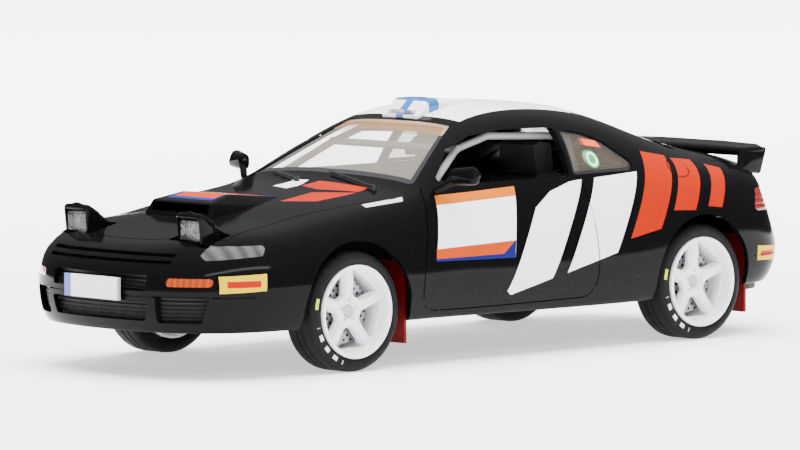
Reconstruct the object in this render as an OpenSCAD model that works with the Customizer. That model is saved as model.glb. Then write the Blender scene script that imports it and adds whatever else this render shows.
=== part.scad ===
// Scale model of a rally coupe: a sealed body casting on a screwed base plate, with
// turning wheels, front steering and a furnished cabin behind open door windows.
// Nose towards +X, the car's left side towards +Y, standing on z = 0.

/* [Body] */
// Length over the bumpers
body_length = 244.8; // [210:0.2:300]
// Width over the door creases
body_width = 96; // [84:0.5:120]
// Height of the roof above the floor
body_height = 72.2; // [60:0.1:90]
// Wall thickness of the body casting
wall = 1.6; // [1.2:0.1:2.2]
// Thickness of the window panes
pane = 0.9; // [0.6:0.1:1.2]
// Gap between two fitted pieces
fit_gap = 0.15; // [0.1:0.05:0.25]

/* [Wheels] */
// Distance between the two axles
wheelbase = 140.3; // [120:0.1:170]
// Distance from the front bumper to the front axle
front_overhang = 59.1; // [50:0.1:70]
// Distance between the left and right wheel centres
track_width = 79; // [70:0.5:96]
// Tyre diameter
tyre_diameter = 34.6; // [30:0.1:38]
// Tyre width
tyre_width = 12.6; // [9:0.1:14]
// Rim diameter over its lip
rim_diameter = 26.8; // [22:0.1:30]
// Number of spokes
spoke_count = 5; // [3:1:7]
// Diameter of the axle rod and of the stub axles
axle_diameter = 3; // [2:0.1:4]
// Radius of a wheel arch opening
arch_radius = 20.2; // [18:0.1:24]
// Brake disc diameter
disc_diameter = 19; // [14:0.5:21]

/* [Chassis] */
// Thickness of the base plate
plate_thickness = 1.6; // [1.2:0.1:3]
// Depth of the plinth screw bosses
boss_depth = 7; // [5:0.5:9]
// Bore of the plinth screw bosses
screw_bore = 2.5; // [2:0.1:3.5]
// Distance between the two plinth screw bores
screw_spacing = 92; // [70:1:110]
// Length of the steering arms
steering_arm = 7.5; // [6:0.1:8.5]

/* [Fittings] */
// Width of the number plates
number_plate_width = 23.5; // [18:0.5:32]
// Span of the rear wing
wing_span = 76; // [60:1:84]
// Width of a pop-up headlamp
lamp_width = 14; // [10:0.5:16]
// Outside width of a seat
seat_width = 24; // [18:0.5:26]
// Tube diameter of the roll cage
cage_tube = 2.2; // [1.6:0.1:2.8]
// Steering wheel diameter
steering_wheel_diameter = 20; // [16:0.5:22]
// Height of the mud flaps above the floor
flap_clearance = 6.5; // [4:0.5:10]

/* [Hidden] */
SIDES = ["left", "right"];
CORNERS = ["front_left", "front_right", "rear_left", "rear_right"];

$fn = 48;
hull_fn = 24;
far = 400;

// The hull's stations are drawn for these sizes and stretched to the chosen ones.
drawn_length = 244.8;
drawn_width = 96;
drawn_height = 72.2;
kx = body_length / drawn_length;
ky = body_width / drawn_width;
kz = body_height / drawn_height;

axle_z = tyre_diameter / 2;
front_axle_x = body_length / 2 - front_overhang;
rear_axle_x = front_axle_x - wheelbase;
wheel_y = track_width / 2;
axle_x = [front_axle_x, rear_axle_x];

// ---- Body surface: a smooth skin over cross-sections from tail to nose ----

// One row per cross-section: x, bow of the centreline, sill height, crease [y, z],
// upper side, shoulder, belt, window rail, roof edge, height at y = 13 and at y = 0.
SECTIONS = [
    [-92, -3, 14.5, [47.2, 27.0], [47.0, 35], [45.0, 44], [41.0, 49.6], [34.0, 52.4], [25, 54.4], 55.7, 56.0],
    [-78, -4, 13.5, [48.0, 27.0], [47.6, 36], [45.6, 45], [41.6, 50.8], [34.5, 54.2], [25, 57.4], 59.8, 60.2],
    [-62, -5, 12.5, [48.0, 26.5], [47.2, 36], [45.2, 45], [41.8, 51.6], [34.8, 57.6], [25, 62.4], 65.4, 66.0],
    [-46, -4, 12.2, [47.8, 26.2], [46.6, 36], [44.8, 45], [42.0, 51.6], [34.5, 62.4], [25, 67.8], 70.2, 70.6],
    [-28, 0, 12.2, [47.4, 26.0], [46.2, 36], [44.4, 45], [42.2, 51.2], [33.5, 66.0], [25, 70.4], 72.1, 72.4],
    [-13, 1, 12.3, [47.4, 25.8], [46.0, 36], [44.2, 45], [42.2, 51.0], [33.0, 65.8], [24, 70.4], 71.9, 72.4],
    [-2, 1, 12.4, [47.4, 25.6], [46.0, 36], [44.2, 45], [42.2, 50.6], [33.2, 64.4], [24, 68.9], 69.9, 70.2],
    [7, 2, 12.5, [47.4, 25.5], [46.0, 36], [44.2, 45], [42.2, 50.3], [34.0, 61.8], [25.6, 64.8], 65.6, 66.0],
    [20, 3, 12.6, [47.4, 25.5], [46.2, 36], [44.2, 45], [42.0, 49.6], [37.0, 55.5], [30, 57.2], 57.8, 58.2],
    [32, 5, 12.7, [47.6, 25.5], [46.4, 35.5], [44.0, 44], [41.0, 48.4], [37.4, 49.6], [28, 50.4], 51.0, 51.4],
    [40, 7, 12.7, [47.8, 25.5], [46.6, 35], [44.0, 43.5], [40.4, 47.2], [35.5, 48.2], [26, 48.9], 49.3, 49.5],
    [52, 8, 12.7, [48.2, 25.5], [47.2, 34.5], [44.4, 42.5], [40, 46.2], [34, 46.8], [25, 47.4], 48, 48.2],
    [66, 7, 12.7, [48.2, 25.5], [47.4, 34], [44.4, 41.0], [39.5, 44.0], [33.0, 44.6], [24, 45.6], 46.6, 47.0],
    [84, 0, 12.7, [47.0, 25.5], [46.0, 32], [43.0, 38.2], [37.6, 41.2], [30.0, 42.3], [21, 43.4], 44.6, 45.2]
];
// Centreline of the nose and of the tail, [x, z] from the sill up to the first section
NOSE = [
    [118, 12.6], [120.8, 12.6], [122.4, 17], [122.9, 21], [123, 25.5], [122.2, 31.2],
    [117.8, 36.2], [112.5, 38], [105.5, 39.6], [98, 41.4], [91, 43.6], [84, 45.2]
];
TAIL = [
    [-115, 15], [-118.5, 15], [-121.6, 19], [-122.8, 23], [-122.8, 28], [-119, 33],
    [-116.6, 41], [-116, 47], [-113, 49.6], [-107, 51.4], [-99.5, 53.6], [-92, 56]
];
// Squareness of the plan view at each end, and the number of rings round each end
nose_square = 2.6;
tail_square = 3.3;
end_rings = 5;

function section_row(s) =
    let (cy = s[3].x, z = s[2])
    [
        [42, z], [cy - 2.8, z], [cy - 1.2, z + 4.4], [cy - 0.5, z + 8.3],
        s[3], s[4], s[5], s[6], s[7], s[8], [13, s[9]], [0, s[10]]
    ];
function straight_ring(s) =
    [for (p = section_row(s)) [s[0] + s[1] * (1 - pow(min(1, p.x / s[6].x), 2)), p.x, p.y]];
function end_ring(s, profile, square, turn) =
    let (
        side = section_row(s),
        out = pow(sin(turn), 2 / square),
        across = turn == 90 ? 0 : pow(cos(turn), 2 / square),
        blend = pow(sin(turn), 2)
    )
    [for (j = [0:11]) [
        s[0] + (profile[j].x - s[0]) * out,
        side[j].x * across,
        side[j].y * (1 - blend) + profile[j].y * blend
    ]];
RINGS = concat(
    [for (k = [end_rings:-1:1]) end_ring(SECTIONS[0], TAIL, tail_square, 90 * k / end_rings)],
    [for (s = SECTIONS) straight_ring(s)],
    [for (k = [1:end_rings]) end_ring(SECTIONS[len(SECTIONS) - 1], NOSE, nose_square, 90 * k / end_rings)]
);
ring_count = len(RINGS);
last_u = ring_count - 1;
last_v = 11;

// A ring beyond each end and a row beyond each edge carry the curves on smoothly.
function flip(p) = [p.x, -p.y, p.z];
function widened(ring) = concat([2 * ring[0] - ring[1]], ring, [flip(ring[10])]);
NET = [
    for (ring = concat(
        [[for (p = RINGS[1]) flip(p)]],
        RINGS,
        [[for (p = RINGS[last_u - 1]) flip(p)]]
    )) widened(ring)
];
function weights(t) = [
    pow(1 - t, 3), 3 * pow(t, 3) - 6 * t * t + 4, -3 * pow(t, 3) + 3 * t * t + 3 * t + 1, pow(t, 3)
] / 6;
// Point of the body's outer surface: u counts the rings from the tail, v the rows from the sill
function skin(u, v) =
    let (
        i = min(floor(u), last_u - 1),
        j = min(floor(v), last_v - 1),
        w = weights(v - j),
        p = weights(u - i) * [for (a = [0:3]) w * [for (b = [0:3]) NET[i + a][j + b]]]
    )
    [p.x * kx, abs(p.y) < 0.001 ? 0 : p.y * ky, p.z * kz];
rim_z = skin(12, 1).z;
// The same point drawn in by a depth: the inner faces follow the outer ones
function drawn_in(p, depth) = [
    p.x * (1 - depth * 2 / body_length),
    p.y * (1 - depth * 2 / body_width),
    rim_z + (p.z - rim_z) * (1 - depth / (body_height - rim_z))
];
function quad(a, b, c, d) = [[a, b, c], [a, c, d]];
// Faces of a slab whose two sides are grids of n by m points
function slab_faces(n, m) =
    let (s = n * m)
    concat(
        [for (i = [0:n - 2]) for (j = [0:m - 2]) let (a = i * m + j)
            each quad(a, a + m, a + m + 1, a + 1)],
        [for (i = [0:n - 2]) for (j = [0:m - 2]) let (a = s + i * m + j)
            each quad(a, a + 1, a + m + 1, a + m)],
        [for (i = [0:n - 2]) let (a = i * m) each quad(a + m, a, a + s, a + m + s)],
        [for (i = [0:n - 2]) let (a = i * m + m - 1) each quad(a, a + m, a + m + s, a + s)],
        [for (j = [0:m - 2]) each quad(j, j + 1, j + 1 + s, j + s)],
        [for (j = [0:m - 2]) let (a = (n - 1) * m + j) each quad(a + 1, a, a + s, a + 1 + s)]
    );
module half_skin(us, vs, from, to) {
    outer = [for (u = us) for (v = vs) drawn_in(skin(u, v), from)];
    inner = [for (u = us) for (v = vs) drawn_in(skin(u, v), to)];
    polyhedron(points = concat(outer, inner), faces = slab_faces(len(us), len(vs)));
}
module both_sides() {
    children();
    mirror([0, 1, 0]) children();
}
module on_side(side) {
    if (side == "left") children();
    else mirror([0, 1, 0]) children();
}
ALL_U = [for (i = [0:2 * last_u]) i / 2];
TOP_V = [7, 7.5, 8, 8.5, 9, 10, 11];
ALL_V = concat([1, 2, 3, 4, 5, 6, 6.5], TOP_V);
module full_skin() {
    both_sides() half_skin(ALL_U, ALL_V, 0, wall);
}
// Upright or sideways prism with rounded corners, through the body
module side_prism(corners, round, grow = 0, from_y = 20) {
    hull() for (p = corners)
        translate([p.x * kx, from_y * ky - grow, p.y * kz]) rotate([-90, 0, 0])
            cylinder(r = round + grow, h = 60, $fn = hull_fn);
}
module top_prism(corners, round, z0, z1, grow = 0) {
    hull() for (p = corners)
        translate([p.x * kx, p.y * ky, z0 * kz])
            cylinder(r = round + grow, h = (z1 - z0) * kz, $fn = hull_fn);
}
module front_prism(corners, round, x0, x1, grow = 0) {
    hull() for (p = corners)
        translate([x0 * kx, p.x * ky, p.y * kz]) rotate([0, 90, 0])
            cylinder(r = round + grow, h = (x1 - x0) * kx, $fn = hull_fn);
}
function mirrored(list) = concat(list, [for (p = list) [p.x, -p.y]]);

// ---- Openings of the body, as corner points of their rounded prisms ----

DOOR_WINDOW = [[23, 52.4], [13.2, 59.4], [4, 62.8], [-8, 64.1], [-26.2, 64.0], [-24.6, 52.4]];
QUARTER_WINDOW = [[-30.4, 63.2], [-38, 61.8], [-44.4, 59.4], [-51.6, 53.9], [-50.6, 52.8], [-28.6, 52.6]];
WINDSCREEN = mirrored([[32, 0], [30, 32.6], [4.4, 20.6], [5.6, 0]]);
REAR_WINDOW = mirrored([[-50, 0], [-48, 20.6], [-82, 27.5], [-86, 0]]);
window_round = 1.2;
CORNER_LAMP = [[110, 34.6], [110, 37.2], [95, 37.2], [96.4, 35.6]];
TAIL_LAMP = [[-124, 37.6], [-124, 43.2], [-103.4, 43], [-101.6, 38.4]];
tail_lamp_inner = 18;
corner_lamp_inner = 32.2;
POP_UP_Y = [17.6, 31.6];
POP_UP = [[100, POP_UP_Y[0]], [108, POP_UP_Y[0]], [108, POP_UP_Y[1]], [100, POP_UP_Y[1]]];
INDICATOR = [[27.4, 27.8], [36.4, 27.8]];
GRILLE_UPPER = [[-19.5, 29.2], [19.5, 29.2], [19.5, 25.6], [-19.5, 25.6]];
GRILLE_LOWER = [[-19.5, 21.2], [19.5, 21.2], [18.5, 17.4], [-18.5, 17.4]];
FOG_RECESS = [[24, 22.8], [36, 22.8], [34, 17.2], [24, 17.2]];
SLOT_Z = [33.2, 35.2];
// Split lines of the bumpers, [x, z] from the centre of the car back to the wheel arch
FRONT_SPLIT = [
    [130, 32], [112, 32], [105, 33], [99, 33.4], [95, 32.8],
    [92, 30], [90, 24], [88, 19], [86, 10],
];
REAR_SPLIT = [
    [-130, 31], [-114, 31], [-106, 31], [-100, 30.6], [-97, 29.4],
    [-96, 26], [-96, 22], [-97, 17], [-98, 8],
];

// Everything below and beyond a split line, one hull for each stretch of it
module beyond_split(line, grow = 0) {
    end = line[0].x;
    out = sign(end) * grow;
    for (i = [0:len(line) - 2]) hull() for (p = [line[i], line[i + 1]])
        for (x = [p.x * kx - out, end * kx]) for (z = [0, p.y * kz + grow])
            translate([x, -far / 2, z]) cube([0.01, far, 0.01]);
}
module wheel_arches() {
    for (x = axle_x) {
        translate([x, far / 2, axle_z]) rotate([90, 0, 0]) cylinder(r = arch_radius, h = far, $fn = 64);
        hull() for (side = [-1, 1], p = [[arch_radius, axle_z], [arch_radius + 1.5, 8]])
            translate([x + side * p.x, -far / 2, p.y]) cube([0.01, far, 0.01]);
    }
}

module body_shell() {
    color("#141416")
    difference() {
        full_skin();
        both_sides() side_prism(DOOR_WINDOW, window_round);
        both_sides() side_prism(QUARTER_WINDOW, window_round);
        top_prism(WINDSCREEN, window_round, 46, 90);
        top_prism(REAR_WINDOW, window_round, 46, 90);
        both_sides() top_prism(POP_UP, 1, 30, 60);
        both_sides() side_prism(CORNER_LAMP, 0.8, 0, corner_lamp_inner);
        both_sides() side_prism(TAIL_LAMP, 1, 0, tail_lamp_inner);
        for (z = SLOT_Z) front_prism([[-26, z], [26, z]], 0.45, 105, 130);
        beyond_split(FRONT_SPLIT, fit_gap);
        beyond_split(REAR_SPLIT, fit_gap);
        wheel_arches();
    }
}
BUMPER_V = [1, 2, 3, 4, 5, 6];
module front_bumper() {
    color("#161618")
    difference() {
        intersection() {
            both_sides() half_skin([for (i = [33:2 * last_u]) i / 2], BUMPER_V, 0, wall);
            beyond_split(FRONT_SPLIT);
        }
        front_prism(GRILLE_UPPER, 1.2, 100, 130);
        front_prism(GRILLE_LOWER, 1.2, 100, 130);
        both_sides() front_prism(FOG_RECESS, 1.4, 100, 130);
        both_sides() front_prism(INDICATOR, 1.3, 100, 130);
        wheel_arches();
    }
}
// Ribbed panel that closes the bumper's openings from behind
grille_thickness = 1.2;
module front_grille() {
    color("#101012")
    difference() {
        both_sides() half_skin(
            [for (i = [40:2 * last_u]) i / 2], [1, 2, 3, 4, 5],
            wall + fit_gap, wall + fit_gap + grille_thickness
        );
        translate([0, -far / 2, plate_top + seat_gap - far]) cube(far);
    }
}
module rear_bumper() {
    color("#161618")
    difference() {
        intersection() {
            both_sides() half_skin([for (i = [0:14]) i / 2], BUMPER_V, 0, wall);
            beyond_split(REAR_SPLIT);
        }
        wheel_arches();
    }
}

// ---- Panes and lamps: slices of the same skin inside the openings ----

module skin_slice(us, vs, from, to) {
    both_sides() half_skin(us, vs, from, to);
}
pane_depth = 0.35;
module windscreen() {
    color("#8a8478")
    intersection() {
        skin_slice([for (i = [20:31]) i / 2], [7, 8, 8.5, 9, 10, 11], pane_depth, pane_depth + pane);
        top_prism(WINDSCREEN, window_round, 46, 90, -fit_gap);
    }
}
module rear_window() {
    color("#2c2c2e")
    intersection() {
        skin_slice([for (i = [8:18]) i / 2], [7, 8, 8.5, 9, 10, 11], pane_depth, pane_depth + pane);
        top_prism(REAR_WINDOW, window_round, 46, 90, -fit_gap);
    }
}
module quarter_window(side) {
    color("#34302c")
    on_side(side) intersection() {
        half_skin([for (i = [14:19]) i / 2], [6.5, 7, 7.5, 8, 8.5, 9], pane_depth, pane_depth + pane);
        side_prism(QUARTER_WINDOW, window_round, -fit_gap);
    }
}
module corner_lamp(side) {
    color("#b9bcc0")
    on_side(side) intersection() {
        half_skin([for (i = [35:42]) i / 2], [4, 5, 6, 7, 8], 0.2, wall);
        side_prism(CORNER_LAMP, 0.8, -fit_gap, corner_lamp_inner);
    }
}
module tail_lamp(side) {
    color("#c8321e")
    on_side(side) intersection() {
        half_skin([for (i = [0:10]) i / 2], [4, 5, 6, 7, 8], 0.1, wall);
        side_prism(TAIL_LAMP, 1, -fit_gap, tail_lamp_inner);
    }
}
module indicators() {
    color("#e8862a")
    both_sides() intersection() {
        half_skin([for (i = [38:44]) i / 2], [3, 4, 5, 6], 0.1, wall);
        front_prism(INDICATOR, 1.3, 100, 130, -fit_gap);
    }
}

// ---- Pop-up headlamps: a cast housing under its lid, with the lamp in front ----

lamp_mid_y = (POP_UP_Y[0] + POP_UP_Y[1]) / 2 * ky;
lamp_front_x = 107.6 * kx;
lamp_back_x = 100.4 * kx;
lamp_base_z = 38.2 * kz;
lamp_top_z = 45 * kz;
lid_top_z = 47 * kz;
module headlamp(side) {
    w = lamp_width;
    color("#1a1a1c")
    on_side(side) difference() {
        hull() {
            translate([lamp_front_x, lamp_mid_y - w / 2 + 1, lamp_base_z]) cylinder(r = 1, h = 1, $fn = 16);
            translate([lamp_front_x, lamp_mid_y + w / 2 - 1, lamp_base_z]) cylinder(r = 1, h = 1, $fn = 16);
            for (s = [-1, 1]) translate([lamp_front_x, lamp_mid_y + s * (w / 2 - 2.5), lid_top_z - 2.5])
                sphere(r = 2.5, $fn = 16);
            for (s = [-1, 1]) translate([lamp_back_x, lamp_mid_y + s * (w / 2 - 1), lamp_base_z])
                cylinder(r = 1, h = 2, $fn = 16);
        }
        translate([lamp_front_x + 1, lamp_mid_y, (lamp_base_z + lamp_top_z) / 2 + 0.4])
            cube([6, w - 3, lamp_top_z - lamp_base_z - 0.8], center = true);
    }
}
module headlamp_lens(side) {
    color("#d8dcdf")
    on_side(side)
    translate([lamp_front_x - 1.9, lamp_mid_y, (lamp_base_z + lamp_top_z) / 2 + 0.4])
        linear_lens(lamp_width - 3 - 2 * fit_gap, lamp_top_z - lamp_base_z - 0.8 - 2 * fit_gap, 2.4);
}
// Rectangular lens with a raised round centre, facing +X
module linear_lens(w, h, depth) {
    translate([0, -w / 2, -h / 2]) cube([depth, w, h]);
    translate([depth, 0, 0]) rotate([0, 90, 0]) cylinder(r = h * 0.36, h = 0.5);
}

// ---- Outside fittings ----

seat_gap = 0.05;
module bonnet_scoop() {
    color("#1b1b1d")
    difference() {
        hull() {
            for (s = [-1, 1]) translate([88 * kx, s * 11.5 * ky, 45.2 * kz]) sphere(r = 2.6, $fn = 20);
            for (s = [-1, 1]) translate([60 * kx, s * 10.5 * ky, 47 * kz]) sphere(r = 1, $fn = 16);
            for (s = [-1, 1]) translate([91 * kx, s * 13.5 * ky, 43.2 * kz]) cylinder(r = 1, h = 1, $fn = 16);
        }
        translate([87 * kx, -10.5 * ky, 44.7 * kz]) cube([10, 21 * ky, 2.2]);
        both_sides() half_skin([for (i = [28:2 * last_u]) i / 2], TOP_V, -seat_gap, 12);
    }
}
// Air intake on the roof: a low box whose mouth faces forward above the windscreen
module roof_vent() {
    color("#f2f3f5")
    difference() {
        hull() both_sides() {
            translate([3.4 * kx, 7.2, 68 * kz]) sphere(r = 0.8, $fn = 16);
            translate([-2 * kx, 6, 71.7 * kz]) sphere(r = 2, $fn = 20);
            translate([-7 * kx, 6, 71.9 * kz]) sphere(r = 2, $fn = 20);
            translate([-19 * kx, 6, 71.6 * kz]) sphere(r = 0.8, $fn = 16);
        }
        both_sides() half_skin([for (i = [14:28]) i / 2], TOP_V, -seat_gap, 12);
    }
}
wing_top_z = 56;
WING_PLAN = [
    [-104, 0], [-103, 30], [-101.5, 36.4], [-108, 37.6],
    [-114, 36.6], [-119.4, 28], [-121.2, 12], [-121.6, 0],
];
module rear_wing() {
    color("#131315")
    union() {
        intersection() {
            translate([0, 0, (wing_top_z - 3) * kz])
                linear_extrude(3 * kz) polygon(wing_outline());
            wing_section();
        }
        difference() {
            both_sides() translate([-106 * kx, wing_span / 2 - 6, (wing_top_z - 7) * kz])
                cylinder(r = 1.6, h = 5.6 * kz);
            both_sides() half_skin([for (i = [0:12]) i / 2], TOP_V, -seat_gap, 8);
        }
    }
}
// Aerofoil that the wing's plan is cut from
module wing_section() {
    span = wing_span + 2;
    hull() for (rod = [[-106, 1.4, 1.4], [-125, 0.7, 0.7], [-100, 2.2, 0.4]])
        translate([rod.x * kx, span / 2, (wing_top_z - rod.y) * kz])
            rotate([90, 0, 0]) cylinder(r = rod.z, h = span, $fn = 24);
}
function wing_outline() =
    let (k = wing_span / 2 / 38, half = [for (p = WING_PLAN) [p.x * kx, p.y * k]])
    concat(half, [for (i = [len(half) - 2:-1:1]) [half[i].x, -half[i].y]]);
module mirror_housing(side) {
    color("#18181a")
    on_side(side) {
        hull() {
            translate([24 * kx, 45.5 * ky, 53.2 * kz]) sphere(r = 2.2, $fn = hull_fn);
            translate([22.5 * kx, 51 * ky, 54.4 * kz]) sphere(r = 2.4, $fn = hull_fn);
        }
        hull() {
            translate(skin(13.7, 7.15) + [0, 0.9, 0.8]) sphere(r = 1, $fn = 16);
            translate([25 * kx, 45.5 * ky, 52.6 * kz]) sphere(r = 1.3, $fn = 16);
        }
    }
}
// Pivot and tip of each wiper blade, as places on the skin with the car's side
WIPERS = [[[14.3, 10.6, -1], [13.8, 9.2, -1]], [[14.4, 9, 1], [13.8, 10.8, 1]]];
function above_skin(p, lift) =
    let (s = skin(p[0], p[1]))
    [s.x + lift * 0.4, s.y * p[2], s.z + lift * 0.9];
module wipers() {
    color("#0e0e0f")
    for (w = WIPERS) {
        hull() for (p = w) translate(above_skin(p, 1)) sphere(r = 0.5, $fn = 12);
        translate(above_skin(w[0], 0.5)) cylinder(r = 0.8, h = 1.2);
    }
}
plate_height = 6.4;
front_plate_x = 122.6 * kx;
module front_number_plate() {
    color("#eef0f2")
    translate([front_plate_x, -number_plate_width / 2, 25.4 * kz - plate_height / 2])
        cube([0.9, number_plate_width, plate_height]);
}
rear_plate_x = -119.2 * kx;
module rear_number_plate() {
    color("#eef0f2")
    translate([rear_plate_x, -number_plate_width / 2, 40 * kz - plate_height / 2])
        cube([1, number_plate_width, plate_height]);
}
flap_thickness = 1;
flap_setback = 2;
seat_clearance = 0.3;
well_reach = arch_radius + flap_setback + flap_thickness + seat_clearance;
front_flap_x = front_axle_x - well_reach + seat_clearance;
rear_flap_x = rear_axle_x - well_reach + seat_clearance;
flap_outer = body_width / 2 - wall - 4.8;
flap_inner = wheel_y - tyre_width / 2 - 2;
module mud_flaps(x) {
    both_sides() translate([x, flap_inner, flap_clearance])
        cube([flap_thickness, flap_outer - flap_inner, 30 * kz - flap_clearance]);
}
module front_mud_flaps() {
    color("#b81e26") mud_flaps(front_flap_x);
}
module rear_mud_flaps() {
    color("#b81e26") mud_flaps(rear_flap_x);
}
pipe_y = -26;
pipe_z = 9.2;
module exhaust() {
    color("#8c8f94")
    translate([-123.5 * kx, pipe_y * ky, pipe_z * kz]) rotate([0, 90, 0]) {
        difference() {
            cylinder(r = 2, h = 26);
            translate([0, 0, -1]) cylinder(r = 1.5, h = 12);
        }
        translate([0, 0, 10]) cylinder(r = 3.4, h = 12);
    }
}
// ---- Base plate, subframe and running gear ----

plate_z = rim_z;
plate_top = plate_z + plate_thickness;
PLATE_U = [for (i = [0:2 * last_u]) i / 2];
function plate_outline() =
    let (half = [
        for (u = PLATE_U) let (p = drawn_in(skin(u, 1), wall))
            [p.x - sign(p.x) * seat_clearance, max(p.y - seat_clearance, 0)]
    ])
    concat(half, [for (i = [len(half) - 2:-1:1]) [half[i].x, -half[i].y]]);
well_y = wheel_y - tyre_width / 2 - 6.8;
module wheel_wells() {
    for (x = axle_x) both_sides()
        translate([x - well_reach, well_y, 0]) cube([2 * well_reach, far, far]);
}
screw_x = [2 + screw_spacing / 2, 2 - screw_spacing / 2];
boss_radius = 3.4;
module base_plate() {
    color("#1c1c1e")
    difference() {
        union() {
            translate([0, 0, plate_z]) linear_extrude(plate_thickness) polygon(plate_outline());
            for (x = screw_x) translate([x, 0, plate_z]) cylinder(r = boss_radius, h = boss_depth);
            translate([rear_axle_x - 4.5, -well_y + 4, plate_z])
                cube([9, 2 * well_y - 8, axle_z + axle_diameter - plate_z]);
            translate([-40, -5, plate_z - 3]) cube([76, 10, 3.5]);
        }
        wheel_wells();
        for (x = screw_x) translate([x, 0, plate_z - 4]) cylinder(d = screw_bore, h = boss_depth + 2.5);
        for (x = screw_x) translate([x, 0, plate_z - 4]) cylinder(r = boss_radius, h = 4);
        rear_axle_bore();
    }
}
module rear_axle_bore() {
    translate([rear_axle_x, far / 2, axle_z]) rotate([90, 0, 0]) cylinder(d = axle_diameter + 0.1, h = far);
}
hub_reach = wheel_y + 2.4;
module rear_axle() {
    color("#9a9da2")
    translate([rear_axle_x, hub_reach, axle_z]) rotate([90, 0, 0])
        cylinder(d = axle_diameter, h = 2 * hub_reach);
}
kingpin_y = wheel_y - 5;
pin_diameter = 2.4;
pin_slack = 0.05;
arm_gap = 4.6;
arm_thickness = 1.6;
knuckle_half = 3.2;
// Two cross beams, one above and one below the base plate, hold the kingpins.
module front_subframe() {
    color("#1c1c1e")
    difference() {
        union() {
            kingpin_beam(axle_z + arm_gap);
            kingpin_beam(axle_z - arm_gap - arm_thickness);
            translate([front_axle_x - 3.5, -15, plate_top + seat_gap])
                cube([7, 30, axle_z + arm_gap + 0.5 - plate_top]);
        }
        both_sides() translate([front_axle_x, kingpin_y, 0])
            cylinder(d = pin_diameter + 2 * pin_slack, h = far);
    }
}
module kingpin_beam(z) {
    translate([front_axle_x - 3.5, -kingpin_y, z]) cube([7, 2 * kingpin_y, arm_thickness]);
    both_sides() translate([front_axle_x, kingpin_y, z]) cylinder(d = 7, h = arm_thickness);
}
module knuckle(side) {
    color("#55585c")
    on_side(side) translate([front_axle_x, kingpin_y, axle_z]) {
        cylinder(r = knuckle_half - 0.2, h = 2 * arm_gap - 0.6, center = true);
        cylinder(d = pin_diameter, h = 2 * (arm_gap + arm_thickness), center = true);
        rotate([-90, 0, 0]) cylinder(d = axle_diameter, h = hub_reach - kingpin_y);
        translate([-steering_arm, -1.2, -0.9]) cube([steering_arm, 2.4, 1.8]);
        translate([-steering_arm, 0, -0.9]) cylinder(d = 3.4, h = 1.8);
        translate([-steering_arm, 0, -0.9]) cylinder(d = rod_pin, h = 5);
    }
}
rod_pin = 1.8;
rod_thickness = 1.2;
rod_hole = 3.2;
rod_end = 4.8;
module track_rod() {
    color("#55585c")
    translate([front_axle_x - steering_arm, 0, axle_z + 1.5]) difference() {
        union() {
            translate([-1.2, -kingpin_y + 2, 0]) cube([2.4, 2 * kingpin_y - 4, rod_thickness]);
            both_sides() translate([0, kingpin_y, 0]) cylinder(d = rod_end, h = rod_thickness);
        }
        both_sides() translate([0, kingpin_y, -1]) cylinder(d = rod_hole, h = 4);
    }
}

// ---- Wheels, drawn about the Y axis with the outer face towards +Y ----

rim_width = tyre_width;
tyre_inner = rim_diameter / 2 - 0.4;
hub_radius = 3.6;
hub_depth = 5;
spoke_root = 6.6;
spoke_tip = 4;
spoke_thickness = 2;
module at_wheel(corner) {
    front = corner == "front_left" || corner == "front_right";
    left = corner == "front_left" || corner == "rear_left";
    translate([front ? front_axle_x : rear_axle_x, 0, axle_z])
        on_side(left ? "left" : "right") translate([0, wheel_y, 0]) children();
}
module about_y() {
    rotate([-90, 0, 0]) children();
}
module rim(corner) {
    r = rim_diameter / 2;
    w = rim_width / 2;
    face = w - hub_depth;
    color("#f2f3f5")
    at_wheel(corner) about_y() {
        rotate_extrude() polygon([
            [r, w + 0.3], [r - 0.7, w + 0.3], [r - 1.4, w - 0.6], [r - 2, face], [r - 2, -w + 0.6],
            [r - 1.2, -w], [r - 0.5, -w], [r - 0.5, w - 0.8], [r, w - 0.6]
        ]);
        difference() {
            union() {
                translate([0, 0, face - 3.2]) cylinder(r = hub_radius, h = 5.4);
                translate([0, 0, face]) linear_extrude(spoke_thickness) polygon(star_outline(r - 1.8));
            }
            translate([0, 0, -far / 2]) cylinder(d = axle_diameter + 0.1, h = far / 2 + 3);
            translate([0, 0, face + 1.2]) cylinder(r = 1.9, h = 2);
        }
    }
}
// Outline of all spokes together, out to the given reach, the first one pointing up on the car
function star_outline(reach) =
    let (half = 180 / spoke_count, valley = spoke_root / 2 / sin(half))
    [for (i = [0:spoke_count - 1]) let (a = -90 + 2 * half * i)
        each [
            valley * [cos(a - half), sin(a - half)],
            reach * [cos(a), sin(a)] + spoke_tip / 2 * [sin(a), -cos(a)],
            reach * [cos(a), sin(a)] - spoke_tip / 2 * [sin(a), -cos(a)]
        ]];
module tyre(corner) {
    r = tyre_diameter / 2;
    w = tyre_width / 2;
    b = rim_diameter / 2 + 0.1;
    color("#2a2a2c")
    at_wheel(corner) about_y() rotate_extrude() polygon([
        [b, w - 0.9], [b + 0.6, w - 0.1], [r - 2.2, w], [r - 0.7, w - 0.6], [r, w - 2],
        [r, -w + 2], [r - 0.7, -w + 0.6], [r - 2.2, -w], [b + 0.6, -w + 0.1], [b, -w + 0.9]
    ]);
}
module brake_disc(corner) {
    color("#77797d")
    at_wheel(corner) about_y() translate([0, 0, -1]) difference() {
        cylinder(d = disc_diameter, h = 0.8);
        translate([0, 0, -1]) cylinder(r = hub_radius + 0.05, h = 3);
    }
}

// ---- Cabin ----

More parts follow.
